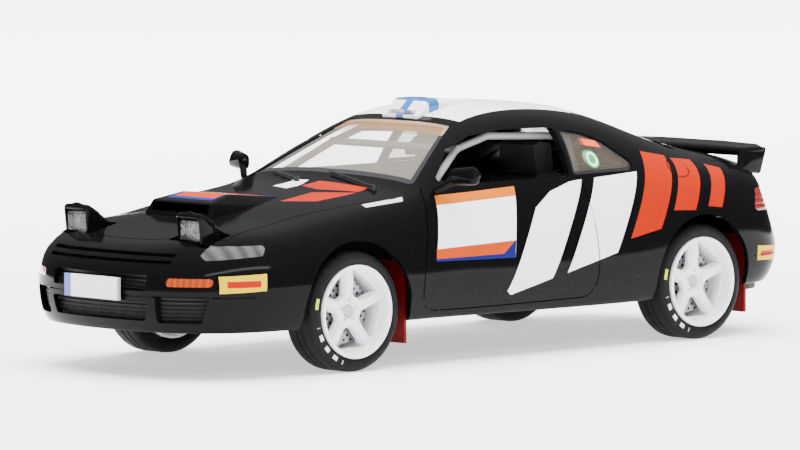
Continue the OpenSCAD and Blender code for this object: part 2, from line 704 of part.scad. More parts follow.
tub_front = 28;
tub_back = -52;
tub_half = 39;
tub_floor = plate_top;
tub_top = 45;
tub_wall = 1.2;
module interior_tub() {
    color("#17171a")
    difference() {
        union() {
            difference() {
                translate([tub_back * kx, -tub_half * ky, tub_floor])
                    cube([(tub_front - tub_back) * kx, 2 * tub_half * ky, tub_top * kz - tub_floor]);
                translate([tub_back * kx + tub_wall, -tub_half * ky + tub_wall, tub_floor + tub_wall])
                    cube([(tub_front - tub_back) * kx - 2 * tub_wall, 2 * tub_half * ky - 2 * tub_wall, far]);
            }
            translate([tub_back * kx, -4.5 * ky, tub_floor]) cube([(tub_front - tub_back) * kx, 9 * ky, 9]);
            translate([-104 * kx, -30 * ky, 44 * kz]) cube([(tub_back + 104) * kx + 1, 60 * ky, tub_wall]);
        }
        for (x = screw_x) translate([x, 0, 0])
            cylinder(r = boss_radius + 0.3, h = plate_z + boss_depth + 0.3);
        wheel_wells_low();
    }
}
module wheel_wells_low() {
    for (x = axle_x) both_sides()
        translate([x, wheel_y - tyre_width / 2 - 1.4, axle_z]) rotate([-90, 0, 0])
            cylinder(r = arch_radius + 1, h = far);
}
dash_front = tub_front * kx - tub_wall - 0.3;
dash_half = 31.5;
module dashboard() {
    color("#1f1f22")
    translate([dash_front, 0, 0]) rotate([90, 0, 0]) translate([0, 0, -dash_half * ky])
        linear_extrude(2 * dash_half * ky) polygon([
            [0, 36 * kz], [0, 47 * kz], [-8, 48.2 * kz], [-14, 46.4 * kz], [-15, 42 * kz], [-11, 36 * kz]
        ]);
}
seat_y = 18.5;
wheel_tilt = 24;
module steering_wheel() {
    color("#101012")
    translate([dash_front - 15.1, seat_y * ky, 43.6 * kz]) rotate([0, -90 + wheel_tilt, 0]) {
        translate([0, 0, 3]) rotate_extrude()
            translate([steering_wheel_diameter / 2 - 0.8, 0]) circle(r = 0.8, $fn = 24);
        cylinder(r = 1.2, h = 4);
        for (a = [90, 210, 330]) rotate([0, 0, a]) translate([0, -0.8, 2.5])
            cube([steering_wheel_diameter / 2 - 0.8, 1.6, 1]);
    }
}
// Side view of a seat's shell, of the hollow between its bolsters and of its headrest
SEAT_SIDE = [
    [2, 0], [3, 9], [-4, 11.5], [-16, 12.5], [-21, 22],
    [-25.5, 35], [-34.5, 35], [-31, 12], [-25, 0],
];
SEAT_HOLLOW = [[8, 4], [-18, 5.2], [-29.5, 38], [-12, 40], [-5, 14], [8, 13]];
HEADREST = [[-27.4, 34.8], [-26, 43.5], [-29, 44.6], [-33, 43.8], [-34.4, 34.8]];
bolster = 3;
module seat(side) {
    color("#232326")
    on_side(side) translate([0, seat_y * ky, tub_floor + tub_wall + seat_gap]) {
        difference() {
            across_seat(SEAT_SIDE, seat_width);
            across_seat(SEAT_HOLLOW, seat_width - 2 * bolster);
        }
        across_seat(HEADREST, seat_width - 9);
    }
}
module across_seat(outline, width) {
    translate([0, width / 2, 0]) rotate([90, 0, 0])
        linear_extrude(width) polygon([for (p = outline) [p.x * kx, p.y]]);
}
// Joints of one side of the cage, and the tubes between them as pairs of joints
CAGE = [
    [-37, 36, 18], [-37.5, 35, 44], [-38, 27.4, 62], [-38, 20, 65],
    [-6, 27, 63.4], [6, 26.4, 60], [23, 33.6, 49.8], [25, 35, 46], [25, 35.4, 18]
];
CAGE_TUBES = [[0, 1], [1, 2], [2, 3], [2, 4], [4, 5], [5, 6], [6, 7], [7, 8]];
CAGE_CROSS = [1, 3, 5];
function to_size(p) = [p.x * kx, p.y * ky, p.z * kz];
// A ten-sided tube that runs a little past both joints, so that the tubes meet
module tube(from, to) {
    a = to_size(from);
    d = to_size(to) - a;
    past = cage_tube * 0.4;
    translate(a) rotate([0, acos(d.z / norm(d)), atan2(d.y, d.x)]) translate([0, 0, -past])
        cylinder(d = cage_tube, h = norm(d) + 2 * past, $fn = 10);
}
module roll_cage() {
    color("#9c9ea2") {
        both_sides() for (t = CAGE_TUBES) tube(CAGE[t[0]], CAGE[t[1]]);
        for (i = CAGE_CROSS) tube(CAGE[i], flip(CAGE[i]));
    }
}

body_shell();
front_bumper();
rear_bumper();
base_plate();
front_subframe();
rear_axle();
interior_tub();
dashboard();
steering_wheel();
roll_cage();
windscreen();
rear_window();
bonnet_scoop();
roof_vent();
rear_wing();
wipers();
front_number_plate();
rear_number_plate();
front_mud_flaps();
rear_mud_flaps();
front_grille();
indicators();
exhaust();
track_rod();
for (s = SIDES) {
    quarter_window(s);
    headlamp(s);
    headlamp_lens(s);
    corner_lamp(s);
    tail_lamp(s);
    mirror_housing(s);
    seat(s);
    knuckle(s);
}
for (c = CORNERS) {
    rim(c);
    tyre(c);
    brake_disc(c);
}
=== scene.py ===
import math

import bmesh
import bpy
import numpy as np
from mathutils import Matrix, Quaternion, Vector
from mathutils.bvhtree import BVHTree


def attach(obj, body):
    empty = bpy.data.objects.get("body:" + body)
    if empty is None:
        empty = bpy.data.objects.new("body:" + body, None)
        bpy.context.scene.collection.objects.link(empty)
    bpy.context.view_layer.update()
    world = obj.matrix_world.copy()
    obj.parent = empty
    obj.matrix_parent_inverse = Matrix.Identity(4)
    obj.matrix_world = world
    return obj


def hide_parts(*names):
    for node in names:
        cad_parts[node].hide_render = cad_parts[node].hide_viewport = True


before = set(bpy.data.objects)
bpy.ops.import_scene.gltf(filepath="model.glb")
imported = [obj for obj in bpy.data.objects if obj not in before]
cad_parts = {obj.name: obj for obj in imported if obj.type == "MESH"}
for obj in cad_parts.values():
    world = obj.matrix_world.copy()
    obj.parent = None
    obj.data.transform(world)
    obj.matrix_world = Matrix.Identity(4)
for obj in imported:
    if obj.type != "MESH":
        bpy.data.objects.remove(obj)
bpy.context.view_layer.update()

# ---- Camera ----
# A long lens stands two metres off the model's left front corner, a little above
# the bonnet, so that the model is seen almost without perspective.

camera = bpy.data.objects.new("camera", bpy.data.cameras.new("camera"))
bpy.context.scene.collection.objects.link(camera)
camera.data.lens = 301.1
camera.data.sensor_width = 36
heading, height = math.radians(46.945), math.radians(4.515)
away = Vector((
    math.cos(height) * math.cos(heading), math.cos(height) * math.sin(heading), math.sin(height)
))
camera.location = Vector((0.0037, 0, 0.0362)) + away * 1.976
camera.rotation_mode = "QUATERNION"
lean = Quaternion((0, 0, 1), math.radians(-0.14))
camera.rotation_quaternion = (-away).to_track_quat("-Z", "Y") @ lean
camera.data.clip_end = 60
bpy.context.scene.camera = camera

# ---- Studio ----
# A pale floor that runs off into a pale background, a wide soft light overhead and
# two softer ones at the sides, as in a light tent.


class Shade:
    """One socket of a node tree; sums, products and comparisons add the Math nodes for them."""

    def __init__(self, tree, socket):
        self.tree, self.socket = tree, socket

    def node(self, kind, settings, sockets, out=0):
        """An output of a new node, with its settings set before its sockets' values or links."""
        made = self.tree.nodes.new("ShaderNode" + kind)
        for name, value in settings.items():
            if name == "stops":
                for place, colour in value[1:-1]:
                    made.color_ramp.elements.new(place)
                for stop, (place, colour) in zip(made.color_ramp.elements, value):
                    stop.position, stop.color = place, (*colour, 1)
            else:
                setattr(made, name, value)
        for key, value in sockets.items():
            if isinstance(value, Shade):
                self.tree.links.new(value.socket, made.inputs[key])
            else:
                made.inputs[key].default_value = value
        return Shade(self.tree, made.outputs[out])

    def math(self, operation, *values):
        return self.node("Math", {"operation": operation}, dict(enumerate(values)))

    def __add__(self, other):
        return self.math("ADD", self, other)

    __radd__ = __add__

    def __sub__(self, other):
        return self.math("SUBTRACT", self, other)

    def __rsub__(self, other):
        return self.math("SUBTRACT", other, self)

    def __mul__(self, other):
        return self.math("MULTIPLY", self, other)

    __rmul__ = __mul__

    def __gt__(self, other):
        return self.math("GREATER_THAN", self, other)

    def __lt__(self, other):
        return self.math("LESS_THAN", self, other)

    def blend(self, first, second):
        """first where this mask is 0, second where it is 1."""
        colours = [c if isinstance(c, Shade) else (*c, 1) for c in (first, second)]
        return self.node("Mix", {"data_type": "RGBA"}, {0: self, 6: colours[0], 7: colours[1]}, 2)

    def noise(self, scale, detail=2.0):
        return self.node("TexNoise", {}, {"Vector": self, "Scale": scale, "Detail": detail})


def finish_of(name, colour, roughness, **settings):
    """A material, its shader node and its object coordinates; settings are shader sockets by name."""
    made = bpy.data.materials.new(name)
    made.use_nodes = True
    tree = made.node_tree
    shader = tree.nodes["Principled BSDF"]
    shader.inputs["Base Color"].default_value = (*colour, 1)
    shader.inputs["Roughness"].default_value = roughness
    for socket, value in settings.items():
        shader.inputs[socket.replace("_", " ")].default_value = value
    coords = tree.nodes.new("ShaderNodeTexCoord")
    return made, shader, Shade(tree, coords.outputs["Object"])


def feed(shader, socket, shade):
    """Links a varying value to one of the shader's sockets."""
    shade.tree.links.new(shade.socket, shader.inputs[socket])


def bump(shader, height, strength, distance):
    """Lets a height in the range 0 to 1 raise the shader's surface by a distance in metres."""
    raised = height.node("Bump", {}, {"Strength": strength, "Distance": distance, "Height": height})
    feed(shader, "Normal", raised)


MM = 0.001


def mesh_object(name, points, faces, finish=None):
    """A new object from points in millimetres and faces, at the frame's origin."""
    mesh = bpy.data.meshes.new(name)
    mesh.from_pydata([tuple(c * MM for c in p) for p in points], [], [tuple(f) for f in faces])
    mesh.update()
    made = bpy.data.objects.new(name, mesh)
    bpy.context.scene.collection.objects.link(made)
    if finish is not None:
        mesh.materials.append(finish)
    return made


FLOOR_PALE = (0.86, 0.855, 0.855)
floor_white, floor_shader, floor_place = finish_of("studio_floor", FLOOR_PALE, 0.6, Emission_Strength=1.0)
feed(floor_shader, "Base Color", floor_place.noise(3.0).blend(FLOOR_PALE, (0.87, 0.865, 0.865)))
distance = floor_place.node("VectorMath", {"operation": "LENGTH"}, {0: floor_place}, 1)
far_off = distance.math("MAXIMUM", (distance - 0.25) * 0.7, 0.0)
far_off = far_off.math("MINIMUM", far_off, 1.0)
feed(floor_shader, "Emission Color", far_off.blend((0.9, 0.88, 0.88), (5.0, 4.9, 4.9)))
floor_half = 20000
floor = mesh_object(
    "studio_floor",
    [(-floor_half, -floor_half, 0), (floor_half, -floor_half, 0),
     (floor_half, floor_half, 0), (-floor_half, floor_half, 0)],
    [(0, 1, 2, 3)], floor_white,
)

world = bpy.data.worlds.new("studio")
bpy.context.scene.world = world
world.use_nodes = True
sky = world.node_tree
direction = Shade(sky, sky.nodes.new("ShaderNodeTexCoord").outputs["Generated"])
up = direction.node("SeparateXYZ", {}, {0: direction}, 2)
glow_stops = [(0.0, (0.10, 0.10, 0.105)), (0.35, (0.30, 0.30, 0.31)), (0.9, (0.8, 0.8, 0.81))]
glow = up.node("ValToRGB", {"stops": glow_stops}, {0: up})
seen = Shade(sky, sky.nodes.new("ShaderNodeLightPath").outputs["Is Camera Ray"])
backdrop = seen.blend(glow, (5.2, 5.05, 5.05))
sky.links.new(backdrop.socket, sky.nodes["Background"].inputs["Color"])


def softbox(name, place, size, power, shine=False):
    """A rectangular area light that faces the model."""
    light = bpy.data.lights.new(name, "AREA")
    light.shape = "RECTANGLE"
    light.size, light.size_y = size
    light.energy = power
    lamp = bpy.data.objects.new(name, light)
    bpy.context.scene.collection.objects.link(lamp)
    lamp.location = place
    lamp.visible_glossy = shine
    lamp.rotation_mode = "QUATERNION"
    lamp.rotation_quaternion = (Vector((0, 0, 0.03)) - Vector(place)).to_track_quat("-Z", "Y")
    return lamp


softbox("overhead", (-0.1, 0.0, 1.5), (1.8, 1.8), 150)
softbox("far_side", (-0.6, -1.4, 0.9), (1.2, 0.7), 30)
softbox("near_side", (0.6, 1.8, 1.2), (3.0, 0.14), 28, True)

# ---- Body shell ----
# One hollow zinc casting: bonnet, wings, doors, roof and tail in one piece, with its
# shut lines engraved. It is sprayed gloss black and the livery is printed over that.

# Each cross-section has x, the bow of the centreline, the sill's height, the crease (y, z),
# upper side, shoulder, belt, window rail, roof edge, and the heights at y = 13 and y = 0.
SECTIONS = [
    (-92, -3, 14.5, (47.2, 27.0), (47.0, 35), (45.0, 44), (41.0, 49.6), (34.0, 52.4), (25, 54.4), 55.7, 56.0),
    (-78, -4, 13.5, (48.0, 27.0), (47.6, 36), (45.6, 45), (41.6, 50.8), (34.5, 54.2), (25, 57.4), 59.8, 60.2),
    (-62, -5, 12.5, (48.0, 26.5), (47.2, 36), (45.2, 45), (41.8, 51.6), (34.8, 57.6), (25, 62.4), 65.4, 66.0),
    (-46, -4, 12.2, (47.8, 26.2), (46.6, 36), (44.8, 45), (42.0, 51.6), (34.5, 62.4), (25, 67.8), 70.2, 70.6),
    (-28, 0, 12.2, (47.4, 26.0), (46.2, 36), (44.4, 45), (42.2, 51.2), (33.5, 66.0), (25, 70.4), 72.1, 72.4),
    (-13, 1, 12.3, (47.4, 25.8), (46.0, 36), (44.2, 45), (42.2, 51.0), (33.0, 65.8), (24, 70.4), 71.9, 72.4),
    (-2, 1, 12.4, (47.4, 25.6), (46.0, 36), (44.2, 45), (42.2, 50.6), (33.2, 64.4), (24, 68.9), 69.9, 70.2),
    (7, 2, 12.5, (47.4, 25.5), (46.0, 36), (44.2, 45), (42.2, 50.3), (34.0, 61.8), (25.6, 64.8), 65.6, 66.0),
    (20, 3, 12.6, (47.4, 25.5), (46.2, 36), (44.2, 45), (42.0, 49.6), (37.0, 55.5), (30, 57.2), 57.8, 58.2),
    (32, 5, 12.7, (47.6, 25.5), (46.4, 35.5), (44.0, 44), (41.0, 48.4), (37.4, 49.6), (28, 50.4), 51.0, 51.4),
    (40, 7, 12.7, (47.8, 25.5), (46.6, 35), (44.0, 43.5), (40.4, 47.2), (35.5, 48.2), (26, 48.9), 49.3, 49.5),
    (52, 8, 12.7, (48.2, 25.5), (47.2, 34.5), (44.4, 42.5), (40, 46.2), (34, 46.8), (25, 47.4), 48, 48.2),
    (66, 7, 12.7, (48.2, 25.5), (47.4, 34), (44.4, 41.0), (39.5, 44.0), (33.0, 44.6), (24, 45.6), 46.6, 47.0),
    (84, 0, 12.7, (47.0, 25.5), (46.0, 32), (43.0, 38.2), (37.6, 41.2), (30.0, 42.3), (21, 43.4), 44.6, 45.2),
]
# The centrelines of the nose and of the tail, (x, z) from the sill up
NOSE = [
    (118, 12.6), (120.8, 12.6), (122.4, 17), (122.9, 21), (123, 25.5), (122.2, 31.2),
    (117.8, 36.2), (112.5, 38), (105.5, 39.6), (98, 41.4), (91, 43.6), (84, 45.2),
]
TAIL = [
    (-115, 15), (-118.5, 15), (-121.6, 19), (-122.8, 23), (-122.8, 28), (-119, 33),
    (-116.6, 41), (-116, 47), (-113, 49.6), (-107, 51.4), (-99.5, 53.6), (-92, 56),
]
NOSE_SQUARE, TAIL_SQUARE, END_RINGS = 2.6, 3.3, 5


def rows_of(section):
    """The cross-section's points (y, z) from under the sill to the centreline."""
    crease, sill = section[3], section[2]
    low = [(42, sill), (crease[0] - 2.8, sill), (crease[0] - 1.2, sill + 4.4), (crease[0] - 0.5, sill + 8.3)]
    return np.array(low + list(section[3:9]) + [(13, section[9]), (0, section[10])], float).T


def straight_ring(section):
    y, z = rows_of(section)
    return np.stack([section[0] + section[1] * (1 - np.minimum(1, y / section[6][0]) ** 2), y, z], 1)


def end_ring(section, profile, square, turn):
    """A ring on the way round an end, where turn goes from 0 at the section to 90 degrees."""
    y, z = rows_of(section)
    end_x, end_z = np.array(profile, float).T
    sine, cosine = math.sin(math.radians(turn)), max(0, math.cos(math.radians(turn)))
    out, across = sine ** (2 / square), 0 if turn == 90 else cosine ** (2 / square)
    return np.stack([
        section[0] + (end_x - section[0]) * out, y * across, z * (1 - sine**2) + end_z * sine**2
    ], 1)


turns = [90 * k / END_RINGS for k in range(1, END_RINGS + 1)]
rings = [end_ring(SECTIONS[0], TAIL, TAIL_SQUARE, turn) for turn in reversed(turns)]
rings += [straight_ring(section) for section in SECTIONS]
rings += [end_ring(SECTIONS[-1], NOSE, NOSE_SQUARE, turn) for turn in turns]
OTHER_SIDE = np.array([1, -1, 1])
net = np.array([rings[1] * OTHER_SIDE] + rings + [rings[-2] * OTHER_SIDE])
net = np.concatenate([2 * net[:, :1] - net[:, 1:2], net, net[:, 10:11] * OTHER_SIDE], 1)
last_u, last_v = len(rings) - 1, 11


def spline_weights(t):
    return np.stack([(1 - t) ** 3, 3 * t**3 - 6 * t * t + 4, -3 * t**3 + 3 * t * t + 3 * t + 1, t**3]) / 6


def skin(u, v):
    """Points on the body's outer surface: u counts the rings from the tail, v the rows from the sill."""
    u, v = np.broadcast_arrays(np.asarray(u, float), np.asarray(v, float))
    i, j = np.minimum(u.astype(int), last_u - 1), np.minimum(v.astype(int), last_v - 1)
    along, up_side = spline_weights(u - i)[..., None], spline_weights(v - j)[..., None]
    return sum(along[a] * up_side[b] * net[i + a, j + b] for a in range(4) for b in range(4))


rim_height = skin(12, 1)[2]
HALF_LENGTH, HALF_WIDTH, ROOF_HEIGHT = 122.4, 48.0, 72.2


def drawn_in(points, depth):
    """The points moved in from the outer surface, as the casting's inner face is."""
    reach = np.array([HALF_LENGTH, HALF_WIDTH, ROOF_HEIGHT - rim_height])
    scale = 1 - depth / reach
    return (points - [0, 0, rim_height]) * scale + [0, 0, rim_height]


STEPS_ALONG, STEPS_UP = 7, 6


def slab(name, outer, inner):
    """The whole body as a closed shell between two depths below its outer surface."""
    us = np.linspace(0, last_u, last_u * STEPS_ALONG + 1)
    vs = np.linspace(1, last_v, (last_v - 1) * STEPS_UP + 1)
    n, m = len(us), len(vs)
    half = skin(us[:, None], vs[None, :])
    layers = [drawn_in(half, d) * side for side in (np.ones(3), OTHER_SIDE) for d in (outer, inner)]
    points = np.concatenate([layer.reshape(-1, 3) for layer in layers])
    i, j = np.meshgrid(np.arange(n - 1), np.arange(m - 1), indexing="ij")
    a = (i * m + j).ravel()
    quads = np.stack([a, a + m, a + m + 1, a + 1], 1)
    rim = np.arange(n - 1) * m
    rims = np.stack([rim + m, rim, rim + n * m, rim + m + n * m], 1)
    faces = []
    for side in (0, 1):
        turned = np.concatenate([quads, quads[:, ::-1] + n * m, rims]) + side * 2 * n * m
        faces.append(turned[:, ::-1] if side else turned)
    made = mesh_object(name, points.tolist(), np.concatenate(faces).tolist())
    edit(made, lambda b: bmesh.ops.remove_doubles(b, verts=b.verts, dist=2e-7))
    return made


def edit(target, work):
    """Runs bmesh work on an object's mesh."""
    held = bmesh.new()
    held.from_mesh(target.data)
    work(held)
    held.to_mesh(target.data)
    held.free()


def rounded(corners, radius):
    """A convex outline round circles of that radius at the corners, anticlockwise."""
    area = sum(x0 * y1 - x1 * y0 for (x0, y0), (x1, y1) in zip(corners, corners[1:] + corners[:1]))
    corners = corners if area > 0 else corners[::-1]
    outline = []
    for before, here, after in zip(corners[-1:] + corners[:-1], corners, corners[1:] + corners[:1]):
        start = math.atan2(here[1] - before[1], here[0] - before[0]) - math.pi / 2
        end = math.atan2(after[1] - here[1], after[0] - here[0]) - math.pi / 2
        sweep = (end - start) % (2 * math.pi)
        if sweep > math.pi:
            sweep = 0
        steps = max(1, round(sweep / 0.3))
        for k in range(steps + 1 if sweep else 1):
            turn = start + sweep * k / steps
            outline.append((here[0] + radius * math.cos(turn), here[1] + radius * math.sin(turn)))
    return outline


AXES = {"x": lambda a, b, t: (t, a, b), "y": lambda a, b, t: (a, t, b), "z": lambda a, b, t: (a, b, t)}


def prism(outline, axis, low, high, name="tool"):
    """A closed prism: the outline's two coordinates are the other two axes in order."""
    n = len(outline)
    points = [AXES[axis](a, b, t) for t in (low, high) for a, b in outline]
    faces = [(k, (k + 1) % n, (k + 1) % n + n, k + n) for k in range(n)]
    made = mesh_object(name, points, faces + [tuple(reversed(range(n))), tuple(range(n, 2 * n))])
    edit(made, lambda b: bmesh.ops.recalc_face_normals(b, faces=b.faces))
    return made


def on_both_sides(outline, low, high, axis="y"):
    """A prism on the left and its mirror image on the right."""
    if axis == "y":
        return [prism(outline, axis, low, high), prism(outline, axis, -high, -low)]
    swapped = [(a, -b) for a, b in outline] if axis == "z" else [(-a, b) for a, b in outline]
    return [prism(outline, axis, low, high), prism(swapped, axis, low, high)]


def carve(target, tools, operation="DIFFERENCE"):
    """Cuts the tools out of the target, or keeps only what lies within them, and removes them."""
    for tool in tools:
        cut = target.modifiers.new("cut", "BOOLEAN")
        cut.operation, cut.solver, cut.object = operation, "MANIFOLD", tool
    depsgraph = bpy.context.evaluated_depsgraph_get()
    carved = bpy.data.meshes.new_from_object(target.evaluated_get(depsgraph))
    target.modifiers.clear()
    carved.materials.clear()
    target.data = carved
    for tool in tools:
        bpy.data.objects.remove(tool)


def copy_of(source, name):
    made = source.copy()
    made.data = source.data.copy()
    made.name = name
    bpy.context.scene.collection.objects.link(made)
    return made


whole = slab("whole", 0, 1.6)
smooth_normals = np.array([n.vector for n in whole.data.vertex_normals])
whole_points = np.array([v.co for v in whole.data.vertices])
whole_faces = [tuple(p.vertices) for p in whole.data.polygons]
whole_tree = BVHTree.FromPolygons([Vector(p) for p in whole_points], whole_faces)


def follow_skin(target, depth=0.02, sharp=35):
    """Shades what lies within that depth of the outer surface as smoothly as the uncut one."""
    mesh = target.data
    mesh.shade_smooth()
    mesh.set_sharp_from_angle(angle=math.radians(sharp))
    at_vertex = np.zeros((len(mesh.vertices), 3))
    for k, vertex in enumerate(mesh.vertices):
        _, _, index, distance = whole_tree.find_nearest(vertex.co)
        if distance > depth * MM:
            continue
        corners = list(whole_faces[index])
        weight = 1 / (((whole_points[corners] - np.array(vertex.co)) ** 2).sum(1) + 1e-12)
        at_vertex[k] = (smooth_normals[corners] * weight[:, None]).sum(0)
    length = np.linalg.norm(at_vertex, axis=1, keepdims=True)
    at_vertex = np.divide(at_vertex, length, out=np.zeros_like(at_vertex), where=length > 0)
    flat = np.zeros(len(mesh.polygons) * 3)
    mesh.polygons.foreach_get("normal", flat)
    flat = flat.reshape(-1, 3)
    loop_vertex = np.zeros(len(mesh.loops), int)
    mesh.loops.foreach_get("vertex_index", loop_vertex)
    loop_face = np.repeat(np.arange(len(mesh.polygons)), [p.loop_total for p in mesh.polygons])
    normals = at_vertex[loop_vertex]
    normals[(normals * flat[loop_face]).sum(1) < 0.85] = 0
    mesh.normals_split_custom_set(normals.tolist())


def dense(points, step):
    """A smooth curve through the points, in steps of about that length."""
    points = [np.array(p, float) for p in points]
    padded = [2 * points[0] - points[1]] + points + [2 * points[-1] - points[-2]]
    curve = [points[0]]
    for p0, p1, p2, p3 in zip(padded, padded[1:], padded[2:], padded[3:]):
        count = max(1, round(float(np.linalg.norm(p2 - p1)) / step))
        for k in range(1, count + 1):
            t = k / count
            bend, twist = 2 * p0 - 5 * p1 + 4 * p2 - p3, 3 * p1 - p0 - 3 * p2 + p3
            curve.append(0.5 * (2 * p1 + (p2 - p0) * t + bend * t**2 + twist * t**3))
    return curve


def seen_from(axis, places, step=1.5):
    """The skin's points and normals under a smooth line drawn in the side (y), top (z) or front (x) view."""
    found = []
    for a, b in dense(places, step):
        start = Vector(AXES[axis](a, b, 140)) * MM
        ray = -Vector(AXES[axis](0, 0, 1))
        hit, normal, _, _ = whole_tree.ray_cast(start, ray)
        if hit is not None:
            found.append((np.array(hit) / MM, np.array(normal)))
    return found


def swept_box(line, width, below, above):
    """A bar along a line of points and normals, from below the skin to above it."""
    points, faces = [], []
    for k, (point, normal) in enumerate(line):
        ahead = line[min(k + 1, len(line) - 1)][0] - line[max(k - 1, 0)][0]
        side = np.cross(ahead / np.linalg.norm(ahead), normal)
        side = side / np.linalg.norm(side) * width / 2
        low, high = normal * below, normal * above
        points += [point + side - low, point + side + high, point - side + high, point - side - low]
        if k:
            a = 4 * (k - 1)
            faces += [(a + c, a + (c + 1) % 4, a + 4 + (c + 1) % 4, a + 4 + c) for c in range(4)]
    end = len(points) - 4
    faces += [(3, 2, 1, 0), (end, end + 1, end + 2, end + 3)]
    made = mesh_object("tool", [tuple(p) for p in points], faces)
    edit(made, lambda b: bmesh.ops.recalc_face_normals(b, faces=b.faces))
    return made


def mirrored_line(line):
    return [(point * OTHER_SIDE, normal * OTHER_SIDE) for point, normal in line]


DOOR_WINDOW = [(23, 52.4), (13.2, 59.4), (4, 62.8), (-8, 64.1), (-26.2, 64.0), (-24.6, 52.4)]
QUARTER_WINDOW = [(-30.4, 63.2), (-38, 61.8), (-44.4, 59.4), (-51.6, 53.9), (-50.6, 52.8), (-28.6, 52.6)]
WINDSCREEN = [(32, 0), (30, 32.6), (4.4, 20.6), (5.6, 0), (4.4, -20.6), (30, -32.6)]
REAR_WINDOW = [(-50, 0), (-48, 20.6), (-82, 27.5), (-86, 0), (-82, -27.5), (-48, -20.6)]
CORNER_LAMP = [(110, 34.6), (110, 37.2), (95, 37.2), (96.4, 35.6)]
TAIL_LAMP = [(-124, 37.6), (-124, 43.2), (-103.4, 43), (-101.6, 38.4)]
POP_UP = [(100, 17.6), (108, 17.6), (108, 31.6), (100, 31.6)]
FRONT_SPLIT = [
    (130, 32), (112, 32), (105, 33), (99, 33.4), (95, 32.8), (92, 30),
    (90, 24), (88, 19), (86, 10), (86, 0), (130, 0),
]
REAR_SPLIT = [
    (-130, 0), (-130, 31), (-114, 31), (-106, 31), (-100, 30.6), (-97, 29.4),
    (-96, 26), (-96, 22), (-97, 17), (-98, 8), (-98, 0),
]
FRONT_AXLE, REAR_AXLE, AXLE_HEIGHT, ARCH_RADIUS = 63.3, -77.0, 17.3, 20.2
SIDE_REACH = 70


def rectangle(x0, x1, y0, y1):
    return [(x0, y0), (x1, y0), (x1, y1), (x0, y1)]


def ring_of(x, z, wide, high, degrees):
    """Points of an ellipse about (x, z), at the given angles."""
    turns = [math.radians(a) for a in degrees]
    return [(x + wide * math.cos(turn), z + high * math.sin(turn)) for turn in turns]


def wheel_arches():
    """Cutting tools for the four wheel arches, straight down below the axle."""
    tools = []
    for x in (FRONT_AXLE, REAR_AXLE):
        arc = ring_of(x, AXLE_HEIGHT, ARCH_RADIUS, ARCH_RADIUS, range(0, 181, 3))
        outline = arc + [(x - ARCH_RADIUS - 1.5, 8), (x + ARCH_RADIUS + 1.5, 8)]
        tools.append(prism(outline, "y", -SIDE_REACH, SIDE_REACH))
    return tools


body = copy_of(whole, "body_shell_casting")
openings = on_both_sides(rounded(DOOR_WINDOW, 1.2), 20, SIDE_REACH)
openings += on_both_sides(rounded(QUARTER_WINDOW, 1.2), 20, SIDE_REACH)
openings += [prism(rounded(WINDSCREEN, 1.2), "z", 46, 90), prism(rounded(REAR_WINDOW, 1.2), "z", 46, 90)]
openings += on_both_sides(rounded(POP_UP, 1.0), 30, 60, "z")
openings += on_both_sides(rounded(CORNER_LAMP, 0.8), 32.2, SIDE_REACH)
openings += on_both_sides(rounded(TAIL_LAMP, 1.0), 18, SIDE_REACH)
openings += [prism(rectangle(-26, 26, z - 0.45, z + 0.45), "x", 105, 130) for z in (33.2, 35.2)]
openings += [prism(split, "y", -SIDE_REACH, SIDE_REACH) for split in (FRONT_SPLIT, REAR_SPLIT)]
carve(body, openings + wheel_arches())
# Shut lines of the doors and the bonnet, the tailgate and the fuel flap, engraved 0.35 mm wide
DOOR_LINE = [(30.5, 50.4), (32.8, 47.4), (36, 36), (38.3, 25), (38.2, 19.2), (36.4, 16.6), (33, 15.8)]
DOOR_REAR = [(-29, 62), (-29.2, 50.5), (-31.5, 40), (-32.5, 27), (-31.6, 19.5), (-28.5, 16.2), (-25, 15.8)]
DOOR_FOOT = [(33, 15.8), (20, 15.6), (0, 15.6), (-25, 15.8)]
BONNET_EDGE = [
    (110.5, 0), (109.8, 11), (107.6, 17), (103.5, 32.8), (98, 33.2),
    (87.1, 31.6), (71.0, 30.6), (51.7, 34.3), (40, 37.6),
]
TAILGATE = [(-84, 0), (-86, 20), (-84, 30), (-90, 33.4), (-100, 34.2), (-110, 33.2)]
FLAP = ring_of(-72, 51.4, 4.2, 2.6, range(0, 361, 20))
lines = [seen_from("y", places) for places in (DOOR_LINE, DOOR_REAR, DOOR_FOOT, FLAP)]
lines += [seen_from("z", places) for places in (BONNET_EDGE, TAILGATE)]
carve(body, [swept_box(line, 0.35, 0.5, 0.5) for line in lines + [mirrored_line(line) for line in lines]])
follow_skin(body)


def inside(across, up, corners):
    """1 within a convex outline given by its corners, and 0 outside it."""
    area = sum(x0 * y1 - x1 * y0 for (x0, y0), (x1, y1) in zip(corners, corners[1:] + corners[:1]))
    corners = corners if area > 0 else corners[::-1]
    place = across.node("CombineXYZ", {}, {0: across, 1: up, 2: 1.0})
    least = None
    for (x0, y0), (x1, y1) in zip(corners, corners[1:] + corners[:1]):
        inward = (y0 - y1, x1 - x0, (y1 - y0) * x0 - (x1 - x0) * y0)
        edge = place.node("VectorMath", {"operation": "DOT_PRODUCT"}, {0: place, 1: inward}, 1)
        least = edge if least is None else edge.math("MINIMUM", least, edge)
    return least > 0.0


def either(*masks):
    """1 where any of the masks is 1."""
    found = masks[0]
    for mask in masks[1:]:
        found = found.math("MAXIMUM", found, mask)
    return found


BLACK, WHITE, ORANGE = (0.002, 0.002, 0.0022), (0.80, 0.80, 0.82), (0.30, 0.013, 0.002)
YELLOW, NAVY, RED = (0.58, 0.40, 0.002), (0.01, 0.012, 0.11), (0.36, 0.01, 0.006)

